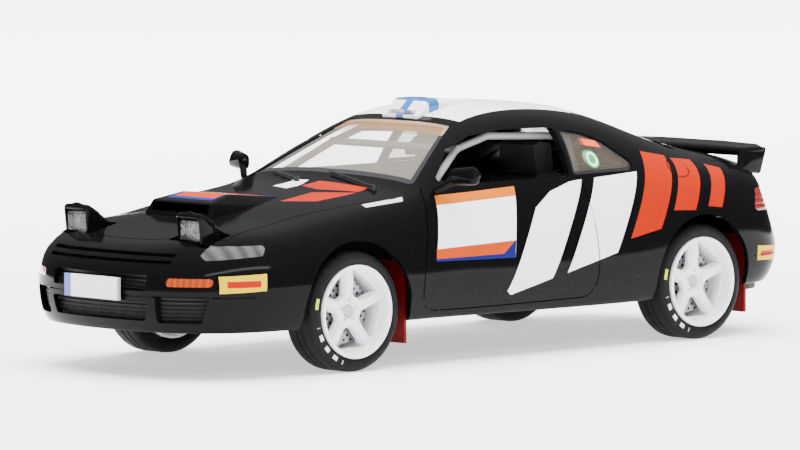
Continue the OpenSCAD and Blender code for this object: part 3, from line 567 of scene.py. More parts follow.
# Livery outlines in the side view, (x, z)
SLANTED_BARS = [
    [(4.6, 19.6), (3.2, 18.4), (-13.4, 22.3), (-29.9, 50.2), (-24.6, 49.8), (-15.8, 47.4), (-9, 43.1)],
    [(-19.4, 23.5), (-40.0, 28.3), (-53.4, 51.3), (-35.2, 50.4)],
]
ORANGE_SHAPES = [
    [(-45.7, 32.0), (-58.5, 34.3), (-70.6, 55.0), (-60.2, 56.8)],
    [(-64.4, 39.4), (-73.5, 39.0), (-81.8, 53.2), (-72.6, 54.2)],
    [(-79.0, 39.9), (-85.0, 39.2), (-91.6, 50.4), (-86.0, 51.8)],
]
DOOR_CARD = [(28.6, 48.4), (-2.2, 49.6), (1.5, 29.2), (33.2, 29.9)]
NOSE_STICKER = [(109.3, 29.6), (96.4, 30.1), (96.9, 25.3), (109.5, 24.8)]
TAIL_STICKER = [(-100.7, 26.8), (-111.3, 26.1), (-112.6, 21.9), (-101, 22.3)]


def shrunk(corners, share):
    """The outline drawn in towards its middle."""
    cx, cy = (sum(c) / len(corners) for c in zip(*corners))
    return [(cx + (x - cx) * share, cy + (y - cy) * share) for x, y in corners]


def in_millimetres(place):
    scaled = place.node("VectorMath", {"operation": "SCALE"}, {0: place, "Scale": 1000.0})
    return [scaled.node("SeparateXYZ", {}, {0: scaled}, k) for k in range(3)]


def finished(target, finish, body, slot, *nodes):
    """Gives a piece its material and its CAD body, and hides the CAD nodes that it stands for; slot is not
    used.
    """
    target.data.materials.clear()
    target.data.materials.append(finish)
    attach(target, body)
    if nodes:
        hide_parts(*nodes)


def sprayed_black(name, printed):
    """Gloss black paint with a faint orange peel; printed says which livery colours lie on it."""
    made, shader, place = finish_of(name, BLACK, 0.12, IOR=1.15)
    normal = place.node("NewGeometry", {}, {}, 1)
    facing = [normal.node("SeparateXYZ", {}, {0: normal}, k) for k in range(3)]
    x, y, z = in_millimetres(place)
    flecks = place.noise(900.0, 4.0)
    colour = flecks.blend(BLACK, (0.0035, 0.0035, 0.004))
    outside = either((facing[1] * y) > 0.0, facing[2] > 0.4)
    inked, ink = printed(colour, x, y.math("ABSOLUTE", y), z, y)
    colour = outside.blend(colour, inked)
    feed(shader, "Base Color", colour)
    feed(shader, "Roughness", place.noise(220.0) * 0.02 + 0.08 + ink * 0.12)
    bump(shader, place.noise(260.0), 0.01, 0.00005)
    return made


def body_print(colour, x, y, z, signed_y):
    """The livery on the casting: flanks, door cards, roof and bonnet, and a painted highlight along the wing
    tops beside the bonnet.
    """
    flank = y > 33.0
    white = either(*[inside(x, z, bar) for bar in SLANTED_BARS]) * flank
    orange = either(*[inside(x, z, shape) for shape in ORANGE_SHAPES]) * flank
    card = inside(x, z, DOOR_CARD) * flank
    colour = orange.blend(colour, ORANGE)
    colour = white.blend(colour, WHITE)
    colour = card.blend(colour, (0.83, 0.83, 0.90))
    top_strip = inside(x, z, [(28.6, 48.4), (-2.2, 49.6), (-1.8, 46.9), (29.4, 45.7)]) * flank
    low_strip = inside(x, z, [(32.7, 33.4), (0.7, 34.2), (1.5, 29.2), (33.2, 29.9)]) * flank
    navy = either(inside(x, z, [(33.2, 30.6), (1.3, 30.6), (1.5, 29.2), (33.2, 29.9)]),
                  inside(x, z, [(6.5, 30.2), (0.6, 34.4), (1.4, 30.0)])) * flank
    colour = top_strip.blend(colour, (0.50, 0.12, 0.008))
    colour = low_strip.blend(colour, (0.38, 0.05, 0.006))
    colour = navy.blend(colour, NAVY)
    roof = (z > 66.5) * inside(x, y, [(1.9, 0), (0.8, 22.4), (-46, 22.0), (-47, 0)])
    colour = roof.blend(colour, (0.74, 0.75, 0.76))
    bonnet = (z > 43.0) * either(
        inside(x, signed_y, [(64.2, 14.3), (58.0, 23.0), (43.5, 24.3), (50.0, 12.0)]),
        inside(x, signed_y, [(46.0, 10.0), (44.0, 1.0), (38.6, 3.0), (38.2, 23.5), (42.4, 24.0)]),
    )
    colour = bonnet.blend(colour, ORANGE)
    bonnet_white = (z > 43.0) * inside(
        x, signed_y, [(49.0, 1.5), (44.0, 0.0), (38.6, 1.0), (38.6, -7.0), (46.0, -9.0)])
    colour = bonnet_white.blend(colour, WHITE)
    # A pale grey strip on the wing tops beside the bonnet is a painted highlight, not livery.
    painted_highlight = (z > 43.0) * inside(x, y, [(52.0, 35.6), (38.0, 37.6), (39.6, 39.6), (52.6, 38.2)])
    colour = painted_highlight.blend(colour, (0.55, 0.56, 0.58))
    return colour, either(orange, white, card, roof, bonnet, bonnet_white)


body_paint = sprayed_black("body_paint", body_print)
finished(body, body_paint, "chassis", "black_body_paint", "body_shell")

# ---- Bumpers and grille ----
# Injection-moulded covers in the body colour, pushed onto the ends of the casting. The front
# one has a slatted opening over a lower one, two lamp recesses and a blank yellow sticker.


def skin_piece(name, outer, inner, kept, cut=()):
    """A slice of the body's wall between two depths, kept within some tools and cut by others."""
    made = slab(name, outer, inner)
    carve(made, kept, "INTERSECT")
    if cut:
        carve(made, list(cut))
    follow_skin(made, outer + 0.02)
    return made


FOG_RECESS = [(24, 17.2), (34, 17.2), (36, 22.8), (24, 22.8)]
INDICATOR = rectangle(27.1, 36.7, 27.5, 28.1)
cuts = [
    prism(rounded(rectangle(-19.5, 19.5, 25.6, 29.2), 0.5), "x", 105, 130),
    prism(rounded([(-18.5, 17.4), (18.5, 17.4), (19.5, 21.2), (-19.5, 21.2)], 0.8), "x", 105, 130),
]
for outline in (FOG_RECESS, INDICATOR):
    cuts += on_both_sides(rounded(outline, 1.0), 100, 130, "x")
ahead = prism(FRONT_SPLIT, "y", -SIDE_REACH, SIDE_REACH)
front_bumper = skin_piece("front_bumper_cover", 0, 1.6, [ahead], cuts + wheel_arches())
rib = [seen_from("x", [(y, 23.6) for y in (-44, -30, -15, 0, 15, 30, 44)])]
carve(front_bumper, [swept_box(line, 0.4, 0.35, 0.5) for line in rib])
follow_skin(front_bumper)
behind = prism(REAR_SPLIT, "y", -SIDE_REACH, SIDE_REACH)
rear_bumper = skin_piece("rear_bumper_cover", 0, 1.6, [behind], wheel_arches())
rib = [seen_from("y", [(-99, 24), (-110, 24), (-120, 24)])]
carve(rear_bumper, [swept_box(line, 0.4, 0.35, 0.5) for line in rib + [mirrored_line(line) for line in rib]])
follow_skin(rear_bumper)


def bumper_print(colour, x, y, z, signed_y):
    """Blank yellow stickers with a red bar, ahead of the front wheels and behind the rear ones."""
    flank = y > 30.0
    yellow = either(inside(x, z, NOSE_STICKER), inside(x, z, TAIL_STICKER)) * flank
    red = either(inside(x, z, shrunk(NOSE_STICKER, 0.72)) * (z > 26.4) * (z < 28.2),
                 inside(x, z, shrunk(TAIL_STICKER, 0.72)) * (z > 23.4) * (z < 25.0)) * flank
    return red.blend(yellow.blend(colour, YELLOW), RED), yellow


bumper_paint = sprayed_black("bumper_paint", bumper_print)
finished(front_bumper, bumper_paint, "chassis", "black_body_paint", "front_bumper")
finished(rear_bumper, bumper_paint, "chassis", "black_body_paint", "rear_bumper")

nose_slats = prism(rectangle(102, 125, -30, 30), "z", 31.6, 37.0)
slot_back = skin_piece("slot_backing", 1.65, 2.2, [nose_slats])

grille_black, shader, place = finish_of("grille_black", (0.012, 0.012, 0.013), 0.5, IOR=1.25)
x, y, z = in_millimetres(place)
slats = z.math("SINE", z * 5.2) * 0.5 + 0.5
# The colour is painted darker between the slats, as painted shade in the gaps; the same wave raises the slats
# through the bump.
feed(shader, "Base Color", slats.blend((0.003, 0.003, 0.003), (0.012, 0.012, 0.013)))
feed(shader, "Roughness", place.noise(300.0) * 0.2 + 0.35)
bump(shader, slats, 0.8, 0.0005)


def painted(finish, *names):
    """Gives CAD nodes that keep their own shape a material."""
    for name in names:
        node = bpy.data.objects[name]
        node.data.materials.clear()
        node.data.materials.append(finish)


painted(grille_black, "front_grille")
finished(slot_back, grille_black, "chassis", "chassis_plastic")

# ---- Window glass ----
# Clear styrene panes pushed into their openings from inside, each with a black printed
# border. The windscreen has a brown sun band along its top; a green disc and an orange
# sticker are stuck inside the quarter windows.


def glass(name, tint, shade_of=None):
    """A thin tinted pane: shade_of says where it is printed, and with what colour."""
    made, shader, place = finish_of(name, tint, 0.04, IOR=1.45, Coat_Weight=0.6, Coat_Roughness=0.02)
    x, y, z = in_millimetres(place)
    smear = place.noise(60.0, 3.0)
    colour, cover = shade_of(x, y.math("ABSOLUTE", y), z)
    feed(shader, "Base Color", colour)
    feed(shader, "Roughness", smear * 0.03 + 0.02)
    edge = smear.node("LayerWeight", {}, {"Blend": 0.35}, 1)
    feed(shader, "Alpha", cover.math("MINIMUM", cover + edge * 0.35, 1.0))
    return made


def screen_print(x, y, z):
    clear = inside(x, y, [(30.4, 0), (28.8, 31.4), (5.2, 20.6), (6.4, 0)])
    band = inside(x, y, [(9.6, 0), (8.8, 23.5), (4.0, 21.6), (4.6, 0)])
    colour = clear.blend((0.008, 0.008, 0.009), (0.32, 0.29, 0.25))
    return band.blend(colour, (0.30, 0.17, 0.09)), (1 - clear) * 0.9 + 0.10 + band * clear * 0.35


def quarter_print(x, y, z):
    disc_x, disc_z = x + 37.6, z - 55.6
    radius = disc_x.math("SQRT", disc_x * disc_x + disc_z * disc_z)
    disc, ring = radius < 2.6, (radius < 2.1) * (radius > 1.4)
    note = inside(x, z, [(-37.0, 59.6), (-43.8, 58.6), (-42.8, 60.6), (-37.0, 61.6)])
    clear = inside(
        x, z, [(-30.2, 63.4), (-38, 62.0), (-44.6, 59.6), (-52.0, 53.9), (-50.7, 52.6), (-28.4, 52.4)])
    colour = clear.blend((0.01, 0.01, 0.011), (0.10, 0.08, 0.065))
    colour = note.blend(disc.blend(colour, (0.02, 0.30, 0.09)), (0.65, 0.09, 0.02))
    colour = ring.blend(colour, (0.75, 0.85, 0.78))
    return colour, either(disc, note, 1 - clear) * 0.75 + 0.25


def rear_print(x, y, z):
    clear = inside(x, y, [(-51.5, 0), (-49.5, 20.5), (-81, 27), (-84.5, 0)])
    wires = (x.math("FRACT", x * 0.28) < 0.06) * clear
    colour = clear.blend((0.008, 0.008, 0.009), (0.05, 0.05, 0.052))
    return wires.blend(colour, (0.25, 0.12, 0.05)), (1 - clear) * 0.85 + 0.15 + clear * 0.2


pane_depths = 0.35, 1.35
pane = skin_piece("windscreen_pane", *pane_depths, [prism(rounded(WINDSCREEN, 1.1), "z", 46, 90)])
screen_glass = glass("windscreen_glass", (0.3, 0.28, 0.25), screen_print)
finished(pane, screen_glass, "chassis", "clear_pane", "windscreen")
pane = skin_piece("rear_pane", *pane_depths, [prism(rounded(REAR_WINDOW, 1.1), "z", 46, 90)])
finished(pane, glass("rear_glass", (0.05, 0.05, 0.05), rear_print), "chassis", "clear_pane", "rear_window")
quarter_glass = glass("quarter_glass", (0.1, 0.08, 0.07), quarter_print)
for side, reach in (("left", (20, SIDE_REACH)), ("right", (-SIDE_REACH, -20))):
    opening = prism(rounded(QUARTER_WINDOW, 1.1), "y", *reach)
    pane = skin_piece(side + "_quarter_pane", *pane_depths, [opening])
    finished(pane, quarter_glass, "chassis", "clear_pane", side + "_quarter_window")

# ---- Lamps in the body ----
# Clear corner lamps with fluted reflectors, two-colour tail lamps and amber indicators, all
# moulded lenses set flush in the body's openings.


def lens(name, colour, shade_between_flutes, flutes, axis=0, cover=1.0):
    """A moulded lens whose flutes run across an axis, with shade painted between them in a darker colour."""
    made, shader, place = finish_of(
        name, colour, 0.12, Alpha=cover, Coat_Weight=1.0, Coat_Roughness=0.03, IOR=1.49)
    parts = in_millimetres(place)
    ridge = parts[axis].math("SINE", parts[axis] * flutes) * 0.5 + 0.5
    # The colour is painted darker between the flutes, as painted shade, with some random tone mixed in.
    feed(shader, "Base Color", (ridge * 0.6 + place.noise(90.0) * 0.4).blend(shade_between_flutes, colour))
    feed(shader, "Roughness", ridge * 0.12 + 0.08)
    bump(shader, ridge, 0.5, 0.0002)
    return made


corner_clear = lens("corner_lamp_clear", (0.085, 0.085, 0.08), (0.018, 0.018, 0.018), 1.6)
tail_red = lens("tail_lamp_red", (0.26, 0.016, 0.006), (0.10, 0.005, 0.004), 4.0, 2)
amber = lens("indicator_amber", (0.36, 0.055, 0.006), (0.20, 0.025, 0.004), 4.0, 1)
for side, sign in (("left", 1), ("right", -1)):
    reach = sorted((sign * 32.3, sign * SIDE_REACH))
    lamp = skin_piece(side + "_corner_lens", 0.2, 1.6, [prism(rounded(CORNER_LAMP, 0.7), "y", *reach)])
    finished(lamp, corner_clear, "chassis", "clear_lens", side + "_corner_lamp")
    reach = sorted((sign * 18.1, sign * SIDE_REACH))
    lamp = skin_piece(side + "_tail_lens", 0.1, 1.6, [prism(rounded(TAIL_LAMP, 0.9), "y", *reach)])
    finished(lamp, tail_red, "chassis", "red_lens", side + "_tail_lamp")
    outline = rounded(INDICATOR if sign > 0 else [(-y, z) for y, z in INDICATOR], 0.9)
    lamp = skin_piece(side + "_indicator_lens", 0.1, 1.6, [prism(outline, "x", 100, 130)])
    finished(lamp, amber, "chassis", "orange_lens", "indicators")


# ---- Pop-up headlamps ----
# Each is a cast pod under a body-coloured lid, raised for good. Its face holds a square clear
# lens over a chromed bowl with a round bulb shield in the middle.


def ball(centre, radius, steps=10):
    """Points all over a small sphere."""
    found = []
    for i in range(steps + 1):
        polar = math.pi * i / steps
        for j in range(2 * steps):
            turn = math.pi * j / steps
            found.append((
                centre[0] + radius * math.sin(polar) * math.cos(turn),
                centre[1] + radius * math.sin(polar) * math.sin(turn),
                centre[2] + radius * math.cos(polar),
            ))
    return found


def hull_of(name, balls, steps=10):
    """The smooth solid stretched over a set of spheres, given as (centre, radius)."""
    made = mesh_object(name, [p for centre, radius in balls for p in ball(centre, radius, steps)], [])

    def stretch(held):
        bmesh.ops.remove_doubles(held, verts=held.verts, dist=1e-6)
        hull = bmesh.ops.convex_hull(held, input=held.verts)
        loose = [v for v in hull["geom_interior"] + hull["geom_unused"] if isinstance(v, bmesh.types.BMVert)]
        bmesh.ops.delete(held, geom=list(set(loose)), context="VERTS")
        bmesh.ops.recalc_face_normals(held, faces=held.faces)

    edit(made, stretch)
    smooth_by_angle(made)
    return made


def smooth_by_angle(target, sharp=30):
    target.data.shade_smooth()
    target.data.set_sharp_from_angle(angle=math.radians(sharp))


plain_black = sprayed_black("fitting_paint", lambda colour, x, y, z, signed_y: (colour, (y < -1.0)))
bowl, shader, place = finish_of("lamp_bowl", (0.55, 0.55, 0.55), 0.15, Metallic=0.9)
x, y, z = in_millimetres(place)
across, up = y.math("ABSOLUTE", y) - 24.6, z - 41.7
radius = across.math("SQRT", across * across + up * up)
# Within 3.4 mm of the middle the bowl is painted brighter, as a painted reflection; the dark disc inside it
# is the bulb shield.
bowl_painted_reflection = (radius < 3.4).blend((0.10, 0.10, 0.10), (0.24, 0.24, 0.25))
feed(shader, "Base Color", (radius < 1.5).blend(bowl_painted_reflection, (0.02, 0.02, 0.022)))
feed(shader, "Roughness", radius.math("SINE", radius * 9.0) * 0.08 + 0.2)
bump(shader, radius.math("SINE", radius * 6.0) * 0.5 + 0.5, 0.5, 0.0003)
lamp_clear = lens("headlamp_clear", (0.3, 0.3, 0.31), (0.2, 0.2, 0.21), 3.0, 1, 0.14)
LAMP_Y, LAMP_HALF = 24.6, 4.5
for side, sign in (("left", 1), ("right", -1)):
    middle = sign * LAMP_Y
    pod = hull_of(side + "_headlamp_pod", [
        ((107.4, middle + s * (LAMP_HALF - 0.4), z), r)
        for s in (-1, 1) for z, r in ((38.4, 0.7), (45.4, 1.3))
    ] + [((100.6, middle + s * (LAMP_HALF - 0.6), 38.6), 0.7) for s in (-1, 1)]
      + [((103.4, middle + s * (LAMP_HALF - 1.0), 43.4), 1.2) for s in (-1, 1)])
    mouth = rounded(rectangle(middle - 3.6, middle + 3.6, 38.9, 44.7), 1.0)
    carve(pod, [prism(mouth, "x", 105.2, 112)])
    smooth_by_angle(pod)
    finished(pod, plain_black, "chassis", "black_body_paint", side + "_headlamp")
    lid = hull_of(side + "_headlamp_lid", [
        ((108.0, middle + s * (LAMP_HALF - 0.6), 45.7), 0.7) for s in (-1, 1)
    ] + [((107.6, middle, 46.6), 0.7)]
      + [((98.6, middle + s * (LAMP_HALF - 1.0), 40.6), 0.6) for s in (-1, 1)]
      + [((104, middle + s * (LAMP_HALF - 2.2), 44.9), 0.7) for s in (-1, 1)])
    finished(lid, plain_black, "chassis", "black_body_paint")
    back_outline = rounded(rectangle(middle - 3.5, middle + 3.5, 38.8, 44.6), 0.7)
    back = prism(back_outline, "x", 104.9, 105.4, side + "_lamp_bowl")
    finished(back, bowl, "chassis", "clear_lens")
    front = hull_of(side + "_lamp_lens", [
        ((107.6, middle + s * 3.5, z), 0.45) for s in (-1, 1) for z in (39.5, 44.3)
    ] + [((108.1, middle, 41.7), 0.5)])
    finished(front, lamp_clear, "chassis", "clear_lens", side + "_headlamp_lens")

# ---- Bonnet scoop and roof vent ----
# The scoop is a low cast box with a wide mouth, held by the bonnet; a patch of the livery is
# printed on it. The roof vent is a white moulding with a blue cross that feeds the cabin.


def pairs(*balls):
    """Each sphere and its mirror image on the other side."""
    return [((x, sign * y, z), radius) for (x, y, z), radius in balls for sign in (-1, 1)]


def patch_print(colour, x, y, z, signed_y):
    blue = inside(x, signed_y, [(86.5, 9.6), (60, 8.0), (60, -8.0), (86.5, -9.6)]) * (z > 47.5)
    orange = inside(x, signed_y, [(84.5, 8.6), (63, 6.8), (63, -6.8), (84.5, -8.6)]) * (z > 47.5)
    yellow = inside(x, signed_y, [(77, 5.4), (71.5, 5.4), (71.5, -5.4), (77, -5.4)]) * (z > 47.5)
    colour = orange.blend(blue.blend(colour, (0.01, 0.02, 0.16)), (0.38, 0.035, 0.004))
    return yellow.blend(colour, (0.50, 0.20, 0.006)), blue


scoop = hull_of("bonnet_scoop_box", pairs(
    ((88.2, 12.2, 46.6), 1.4), ((80, 9.6, 48.4), 1.4), ((59, 8.6, 47.0), 0.9),
    ((90, 14.0, 43.6), 0.8), ((66, 12.0, 45.6), 0.8),
), 14)
carve(scoop, [prism(rounded(rectangle(-11.8, 11.8, 45.2, 46.8), 0.5), "x", 84, 96)])
smooth_by_angle(scoop)
finished(scoop, sprayed_black("scoop_paint", patch_print), "chassis", "black_body_paint", "bonnet_scoop")

vent = hull_of("roof_vent_box", pairs(
    ((3.0, 7.0, 68.4), 0.9), ((-2, 6.2, 71.6), 1.9), ((-7, 6.2, 71.7), 1.9), ((-18.8, 6.4, 71.8), 0.8),
), 14)
carve(vent, [prism(rounded(rectangle(-5.6, 5.6, 69.2, 70.0), 0.3), "x", 0.5, 8)])
smooth_by_angle(vent)
vent_paint, shader, place = finish_of("roof_vent_paint", (0.80, 0.80, 0.80), 0.2, Coat_Weight=0.5)
x, y, z = in_millimetres(place)
cross = either(y.math("ABSOLUTE", y) < 1.6, (x < -0.6) * (x > -4.6))
feed(shader, "Base Color", cross.blend((0.82, 0.82, 0.82), (0.008, 0.11, 0.36)))
feed(shader, "Roughness", place.noise(260.0) * 0.1 + 0.14)
finished(vent, vent_paint, "chassis", "roof_white", "roof_vent")

# ---- Rear wing, mirrors and wipers ----
# A moulded aerofoil on two side supports, door mirrors on short arms, and two wipers with
# flat blades, all in black styrene.

wing = hull_of("rear_wing_blade", pairs(
    ((-104.4, 35.0, 54.4), 1.3), ((-105, 20, 54.6), 1.4), ((-120.2, 12.0, 55.3), 0.7),
    ((-117.6, 29.0, 55.2), 0.7), ((-112, 36.4, 54.8), 0.8),
), 12)
finished(wing, plain_black, "chassis", "black_body_paint", "rear_wing")
for side, sign in (("left", 1), ("right", -1)):
    foot = hull_of(side + "_wing_support", [
        ((-104.6, sign * 35.2, 54.2), 1.3), ((-113.5, sign * 35.8, 54.6), 0.9),
        ((-102.4, sign * 37.0, 49.6), 1.1), ((-110.5, sign * 36.6, 48.4), 0.9),
    ])
    finished(foot, plain_black, "chassis", "black_body_paint")
    shell = hull_of(side + "_mirror_shell", [
        ((24.9, sign * 45.4, 53.0), 1.7), ((24.6, sign * 46.0, 54.4), 1.9), ((23.0, sign * 51.6, 53.4), 1.8),
        ((22.8, sign * 50.8, 55.0), 1.9), ((22.6, sign * 52.0, 54.4), 1.6),
    ], 14)
    finished(shell, plain_black, "chassis", "black_body_paint", side + "_mirror")
    root = skin(13.7, 7.15)
    arm = hull_of(side + "_mirror_arm", [
        ((root[0], sign * (root[1] + 0.9), root[2] + 0.8), 1.0), ((25.2, sign * 45.5, 52.6), 1.2),
    ])
    finished(arm, plain_black, "chassis", "black_body_paint")
rubber_black, shader, place = finish_of("wiper_black", (0.012, 0.012, 0.013), 0.45)
feed(shader, "Roughness", place.noise(500.0) * 0.25 + 0.35)
for k, (pivot, tip) in enumerate((((14.3, 10.6, -1), (13.8, 9.2, -1)), ((14.4, 9, 1), (13.8, 10.8, 1)))):
    ends = []
    for u, v, sign in (pivot, tip):
        at = skin(u, v)
        ends.append(np.array([at[0] + 0.35, at[1] * sign, at[2] + 0.8]))
    blade = hull_of(f"wiper_blade_{k + 1}", [(tuple(ends[0]), 0.32), (tuple(ends[1]), 0.28)], 8)
    finished(blade, rubber_black, "chassis", "cabin_trim", *(["wipers"] if k == 0 else []))
    low_end = tuple(ends[0] - [0, 0, 0.9])
    spindle = hull_of(f"wiper_spindle_{k + 1}", [(tuple(ends[0]), 0.7), (low_end, 0.8)], 8)
    finished(spindle, rubber_black, "chassis", "cabin_trim")

# ---- Wheels ----
# White moulded rims with five spokes and a deep lip, soft vinyl tyres with printed marks,
# and drilled steel discs behind the spokes. The front pair steers.


def lathe(name, profile, steps=96):
    """A closed ring turned about the Y axis from (radius, y) points."""
    n, points, faces = len(profile), [], []
    for i in range(steps):
        turn = 2 * math.pi * i / steps
        points += [(r * math.cos(turn), y, r * math.sin(turn)) for r, y in profile]
        here, there = i * n, (i + 1) % steps * n
        faces += [(here + j, here + (j + 1) % n, there + (j + 1) % n, there + j) for j in range(n)]
    made = mesh_object(name, points, faces)
    edit(made, lambda b: bmesh.ops.recalc_face_normals(b, faces=b.faces))
    smooth_by_angle(made, 28)
    return made


rim_white, shader, place = finish_of("rim_white", (0.80, 0.80, 0.83), 0.3, Coat_Weight=0.35)
x, y, z = in_millimetres(place)
radius = x.math("SQRT", x * x + z * z)
rim_colour = place.noise(40.0).blend((0.78, 0.78, 0.82), (0.83, 0.83, 0.86))
feed(shader, "Base Color", (radius < 1.9).blend(rim_colour, (0.30, 0.30, 0.31)))
feed(shader, "Roughness", place.noise(300.0) * 0.12 + 0.24)
tyre_black, shader, place = finish_of("tyre_black", (0.005, 0.005, 0.006), 0.6, IOR=1.2)
x, y, z = in_millimetres(place)
radius = x.math("SQRT", x * x + z * z)
turn = x.math("ARCTAN2", z, x)
outer_wall = y > 4.5
dashes = (radius > 14.5) * (radius < 15.7) * outer_wall * (turn.math("SINE", turn * 24.0) > 0.1)
dashes = dashes * (turn < -0.25) * (turn > -1.2)
tick = (radius > 15.0) * (radius < 15.9) * outer_wall * (turn > 0.1) * (turn < 0.3)
vinyl = place.noise(200.0).blend((0.004, 0.004, 0.0045), (0.008, 0.008, 0.009))
feed(shader, "Base Color", tick.blend(dashes.blend(vinyl, (0.72, 0.72, 0.72)), (0.55, 0.62, 0.05)))
feed(shader, "Roughness", place.noise(500.0) * 0.2 + 0.5)
tread = (radius > 16.3) * (turn.math("SINE", turn * 60.0 + y * 0.9) > 0.75)
rings = (radius.math("SINE", radius * 12.0) * 0.5 + 0.5) * 0.25
bump(shader, tread + rings, 0.7, 0.0003)
disc_steel, shader, place = finish_of("disc_steel", (0.30, 0.30, 0.31), 0.35, Metallic=0.9)
x, y, z = in_millimetres(place)
# The drilled holes are not cut: dark spots are painted on the disc as the shade inside them.
painted_hole_shade = (x.math("SINE", x * 2.4) * z.math("SINE", z * 2.4)) > 0.45
feed(shader, "Base Color", painted_hole_shade.blend((0.34, 0.34, 0.35), (0.03, 0.03, 0.03)))
feed(shader, "Roughness", place.noise(400.0) * 0.2 + 0.3)
# Outlines as (radius, y), with the wheel's outer face towards +y
barrel = [
    (13.4, 6.6), (13.1, 6.75), (12.5, 6.75), (12.1, 6.3), (11.9, 5.4), (11.5, 1.6),
    (11.3, 0.6), (11.3, -5.6), (12.2, -6.2), (12.9, -6.2), (12.9, 5.5), (13.4, 5.8),
]
outer_half = [
    (13.4, 5.2), (13.6, 5.9), (14.1, 6.2), (15.2, 6.3), (16.1, 6.0), (16.8, 5.4), (17.2, 4.6),
    (17.3, 3.6), (17.3, 1.5), (17.0, 1.4), (17.0, 1.0), (17.3, 0.9),
]
tyre = outer_half + [(r, -y) for r, y in reversed(outer_half)]
STAR = [
    (0.0001, -1.9), (3.6, -1.9), (3.7, 1.0), (11.8, 1.0), (11.8, 3.2), (9.0, 3.5), (6.0, 3.1),
    (4.3, 2.8), (3.4, 2.9), (2.6, 3.1), (2.2, 2.9), (2.0, 2.2), (0.0001, 2.1),
]
DISC = [(3.7, -1.0), (9.5, -1.0), (9.5, -0.2), (8.9, -0.2), (8.9, -0.1), (3.7, -0.1)]
SPOKES, BOLT_CIRCLE, WHEEL_Y = 5, 2.9, 39.5


def window_between(k, grow):
    """The outline (x, z) of one gap between two spokes; grow widens it."""
    middle = math.radians(90 + 36 + 72 * k)
    outline = []
    for radius, half in ((5.3 - grow, 0.9 + grow), (11.4, 4.9 + grow)):
        for sign in (-1, 1):
            turn = middle + sign * math.asin(half / radius)
            outline.append((radius * math.cos(turn), radius * math.sin(turn)))
    return rounded([outline[0], outline[1], outline[3], outline[2]], 0.35)


for corner in ("front_left", "front_right", "rear_left", "rear_right"):
    side = 1 if corner.endswith("left") else -1
    axle_x = FRONT_AXLE if corner.startswith("front") else REAR_AXLE
    place_at = Vector((axle_x, side * WHEEL_Y, AXLE_HEIGHT)) * MM
    rim = lathe(corner + "_wheel_barrel", barrel)
    face = lathe(corner + "_wheel_star", STAR)
    edit(face, lambda b: bmesh.ops.remove_doubles(b, verts=b.verts, dist=2e-6))
    tools = [prism(window_between(k, 0), "y", -3, 6) for k in range(SPOKES)]
    for k in range(SPOKES):
        low, high = window_between(k, 0.1), window_between(k, 0.8)
        wedge = prism(low, "y", 2.2, 4.2)
        n = len(low)
        if len(high) == n:
            for v in range(n):
                wedge.data.vertices[n + v].co = Vector((high[v][0], 4.2, high[v][1])) * MM
        tools.append(wedge)
    bolts = ring_of(0, 0, BOLT_CIRCLE, BOLT_CIRCLE, range(90, 450, 72))
    tools += [prism(ring_of(*bolt, 0.42, 0.42, range(0, 360, 30)), "y", 1.8, 4) for bolt in bolts]
    carve(face, tools)
    smooth_by_angle(face)
    ring = lathe(corner + "_wheel_tyre", tyre, 128)
    plate = lathe(corner + "_drilled_disc", DISC, 64)
    body_name = corner + "_wheel"
    for piece, finish, slot, nodes in (
        (rim, rim_white, "white_rim", [corner + "_rim"]), (face, rim_white, "white_rim", []),
        (ring, tyre_black, "tyre_rubber", [corner + "_tyre"]),
        (plate, disc_steel, "disc_metal", [corner + "_brake_disc"]),
    ):
        piece.location = place_at
        piece.rotation_euler.z = 0 if side > 0 else math.pi
        finished(piece, finish, body_name, slot, *nodes)

# ---- Plates, mud flaps and exhaust ----
# Blank number plates printed white with a blue end, red rubber mud flaps, and a steel tail pipe.

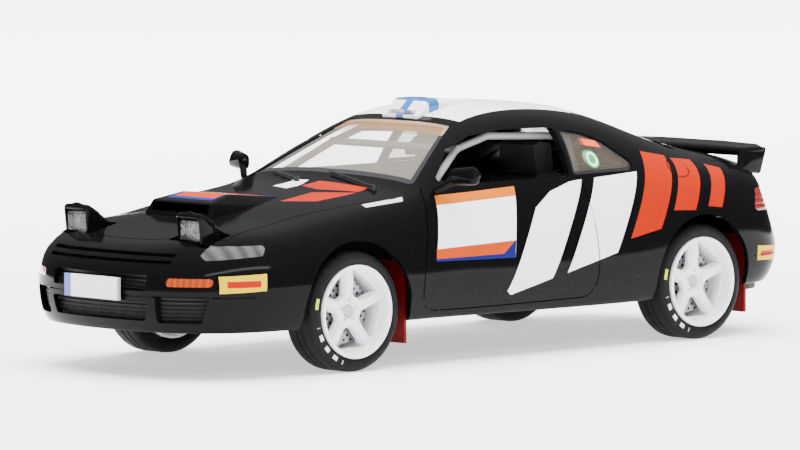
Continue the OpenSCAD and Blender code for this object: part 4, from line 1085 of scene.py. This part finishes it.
plate_print, shader, place = finish_of("number_plate_print", (0.80, 0.80, 0.80), 0.3, Coat_Weight=0.4)
x, y, z = in_millimetres(place)
edge = y.math("ABSOLUTE", y) < 11.2
plate_colour = edge.blend((0.30, 0.30, 0.32), (0.74, 0.74, 0.75))
feed(shader, "Base Color", (y < -8.9).blend(plate_colour, (0.05, 0.08, 0.40)))
feed(shader, "Roughness", place.noise(200.0) * 0.15 + 0.25)
bump(shader, edge, 0.4, 0.0002)
painted(plate_print, "front_number_plate", "rear_number_plate")
flap_red, shader, place = finish_of("flap_rubber", (0.12, 0.002, 0.002), 0.5, IOR=1.25)
feed(shader, "Base Color", place.noise(120.0).blend((0.09, 0.0012, 0.0012), (0.15, 0.002, 0.002)))
feed(shader, "Roughness", place.noise(600.0) * 0.25 + 0.4)
bump(shader, place.noise(900.0), 0.3, 0.0002)
painted(flap_red, "front_mud_flaps", "rear_mud_flaps")
steel, shader, place = finish_of("drawn_steel", (0.42, 0.42, 0.43), 0.35, Metallic=0.9)
feed(shader, "Base Color", place.noise(80.0).blend((0.34, 0.34, 0.35), (0.48, 0.48, 0.49)))
feed(shader, "Roughness", place.noise(500.0) * 0.25 + 0.25)
painted(steel, "exhaust", "rear_axle", "track_rod", "left_knuckle", "right_knuckle")

# ---- Underside and cabin ----
# The base plate, the subframe, the tub and the dashboard are moulded in satin black; seats and wheel are
# matt, and the roll cage is a pale grey moulding.

satin, shader, place = finish_of("chassis_black", (0.006, 0.006, 0.0065), 0.45, IOR=1.25)
feed(shader, "Base Color", place.noise(60.0).blend((0.004, 0.004, 0.0045), (0.008, 0.008, 0.009)))
feed(shader, "Roughness", place.noise(400.0) * 0.25 + 0.35)
bump(shader, place.noise(1500.0), 0.3, 0.0001)
painted(satin, "base_plate", "front_subframe", "interior_tub", "dashboard")
cloth, shader, place = finish_of("seat_cloth", (0.022, 0.022, 0.025), 0.85)
x, y, z = in_millimetres(place)
weave = x.math("SINE", x * 9.0) * y.math("SINE", y * 9.0) * 0.5 + 0.5
feed(shader, "Base Color", weave.blend((0.005, 0.005, 0.006), (0.014, 0.014, 0.016)))
feed(shader, "Roughness", weave * 0.15 + 0.75)
bump(shader, weave, 0.4, 0.0002)
painted(cloth, "left_seat", "right_seat", "steering_wheel")
cage_paint, shader, place = finish_of("cage_paint", (0.30, 0.30, 0.31), 0.4)
feed(shader, "Base Color", place.noise(90.0).blend((0.26, 0.26, 0.27), (0.34, 0.34, 0.35)))
feed(shader, "Roughness", place.noise(500.0) * 0.2 + 0.3)
painted(cage_paint, "roll_cage")
bpy.data.objects.remove(whole)
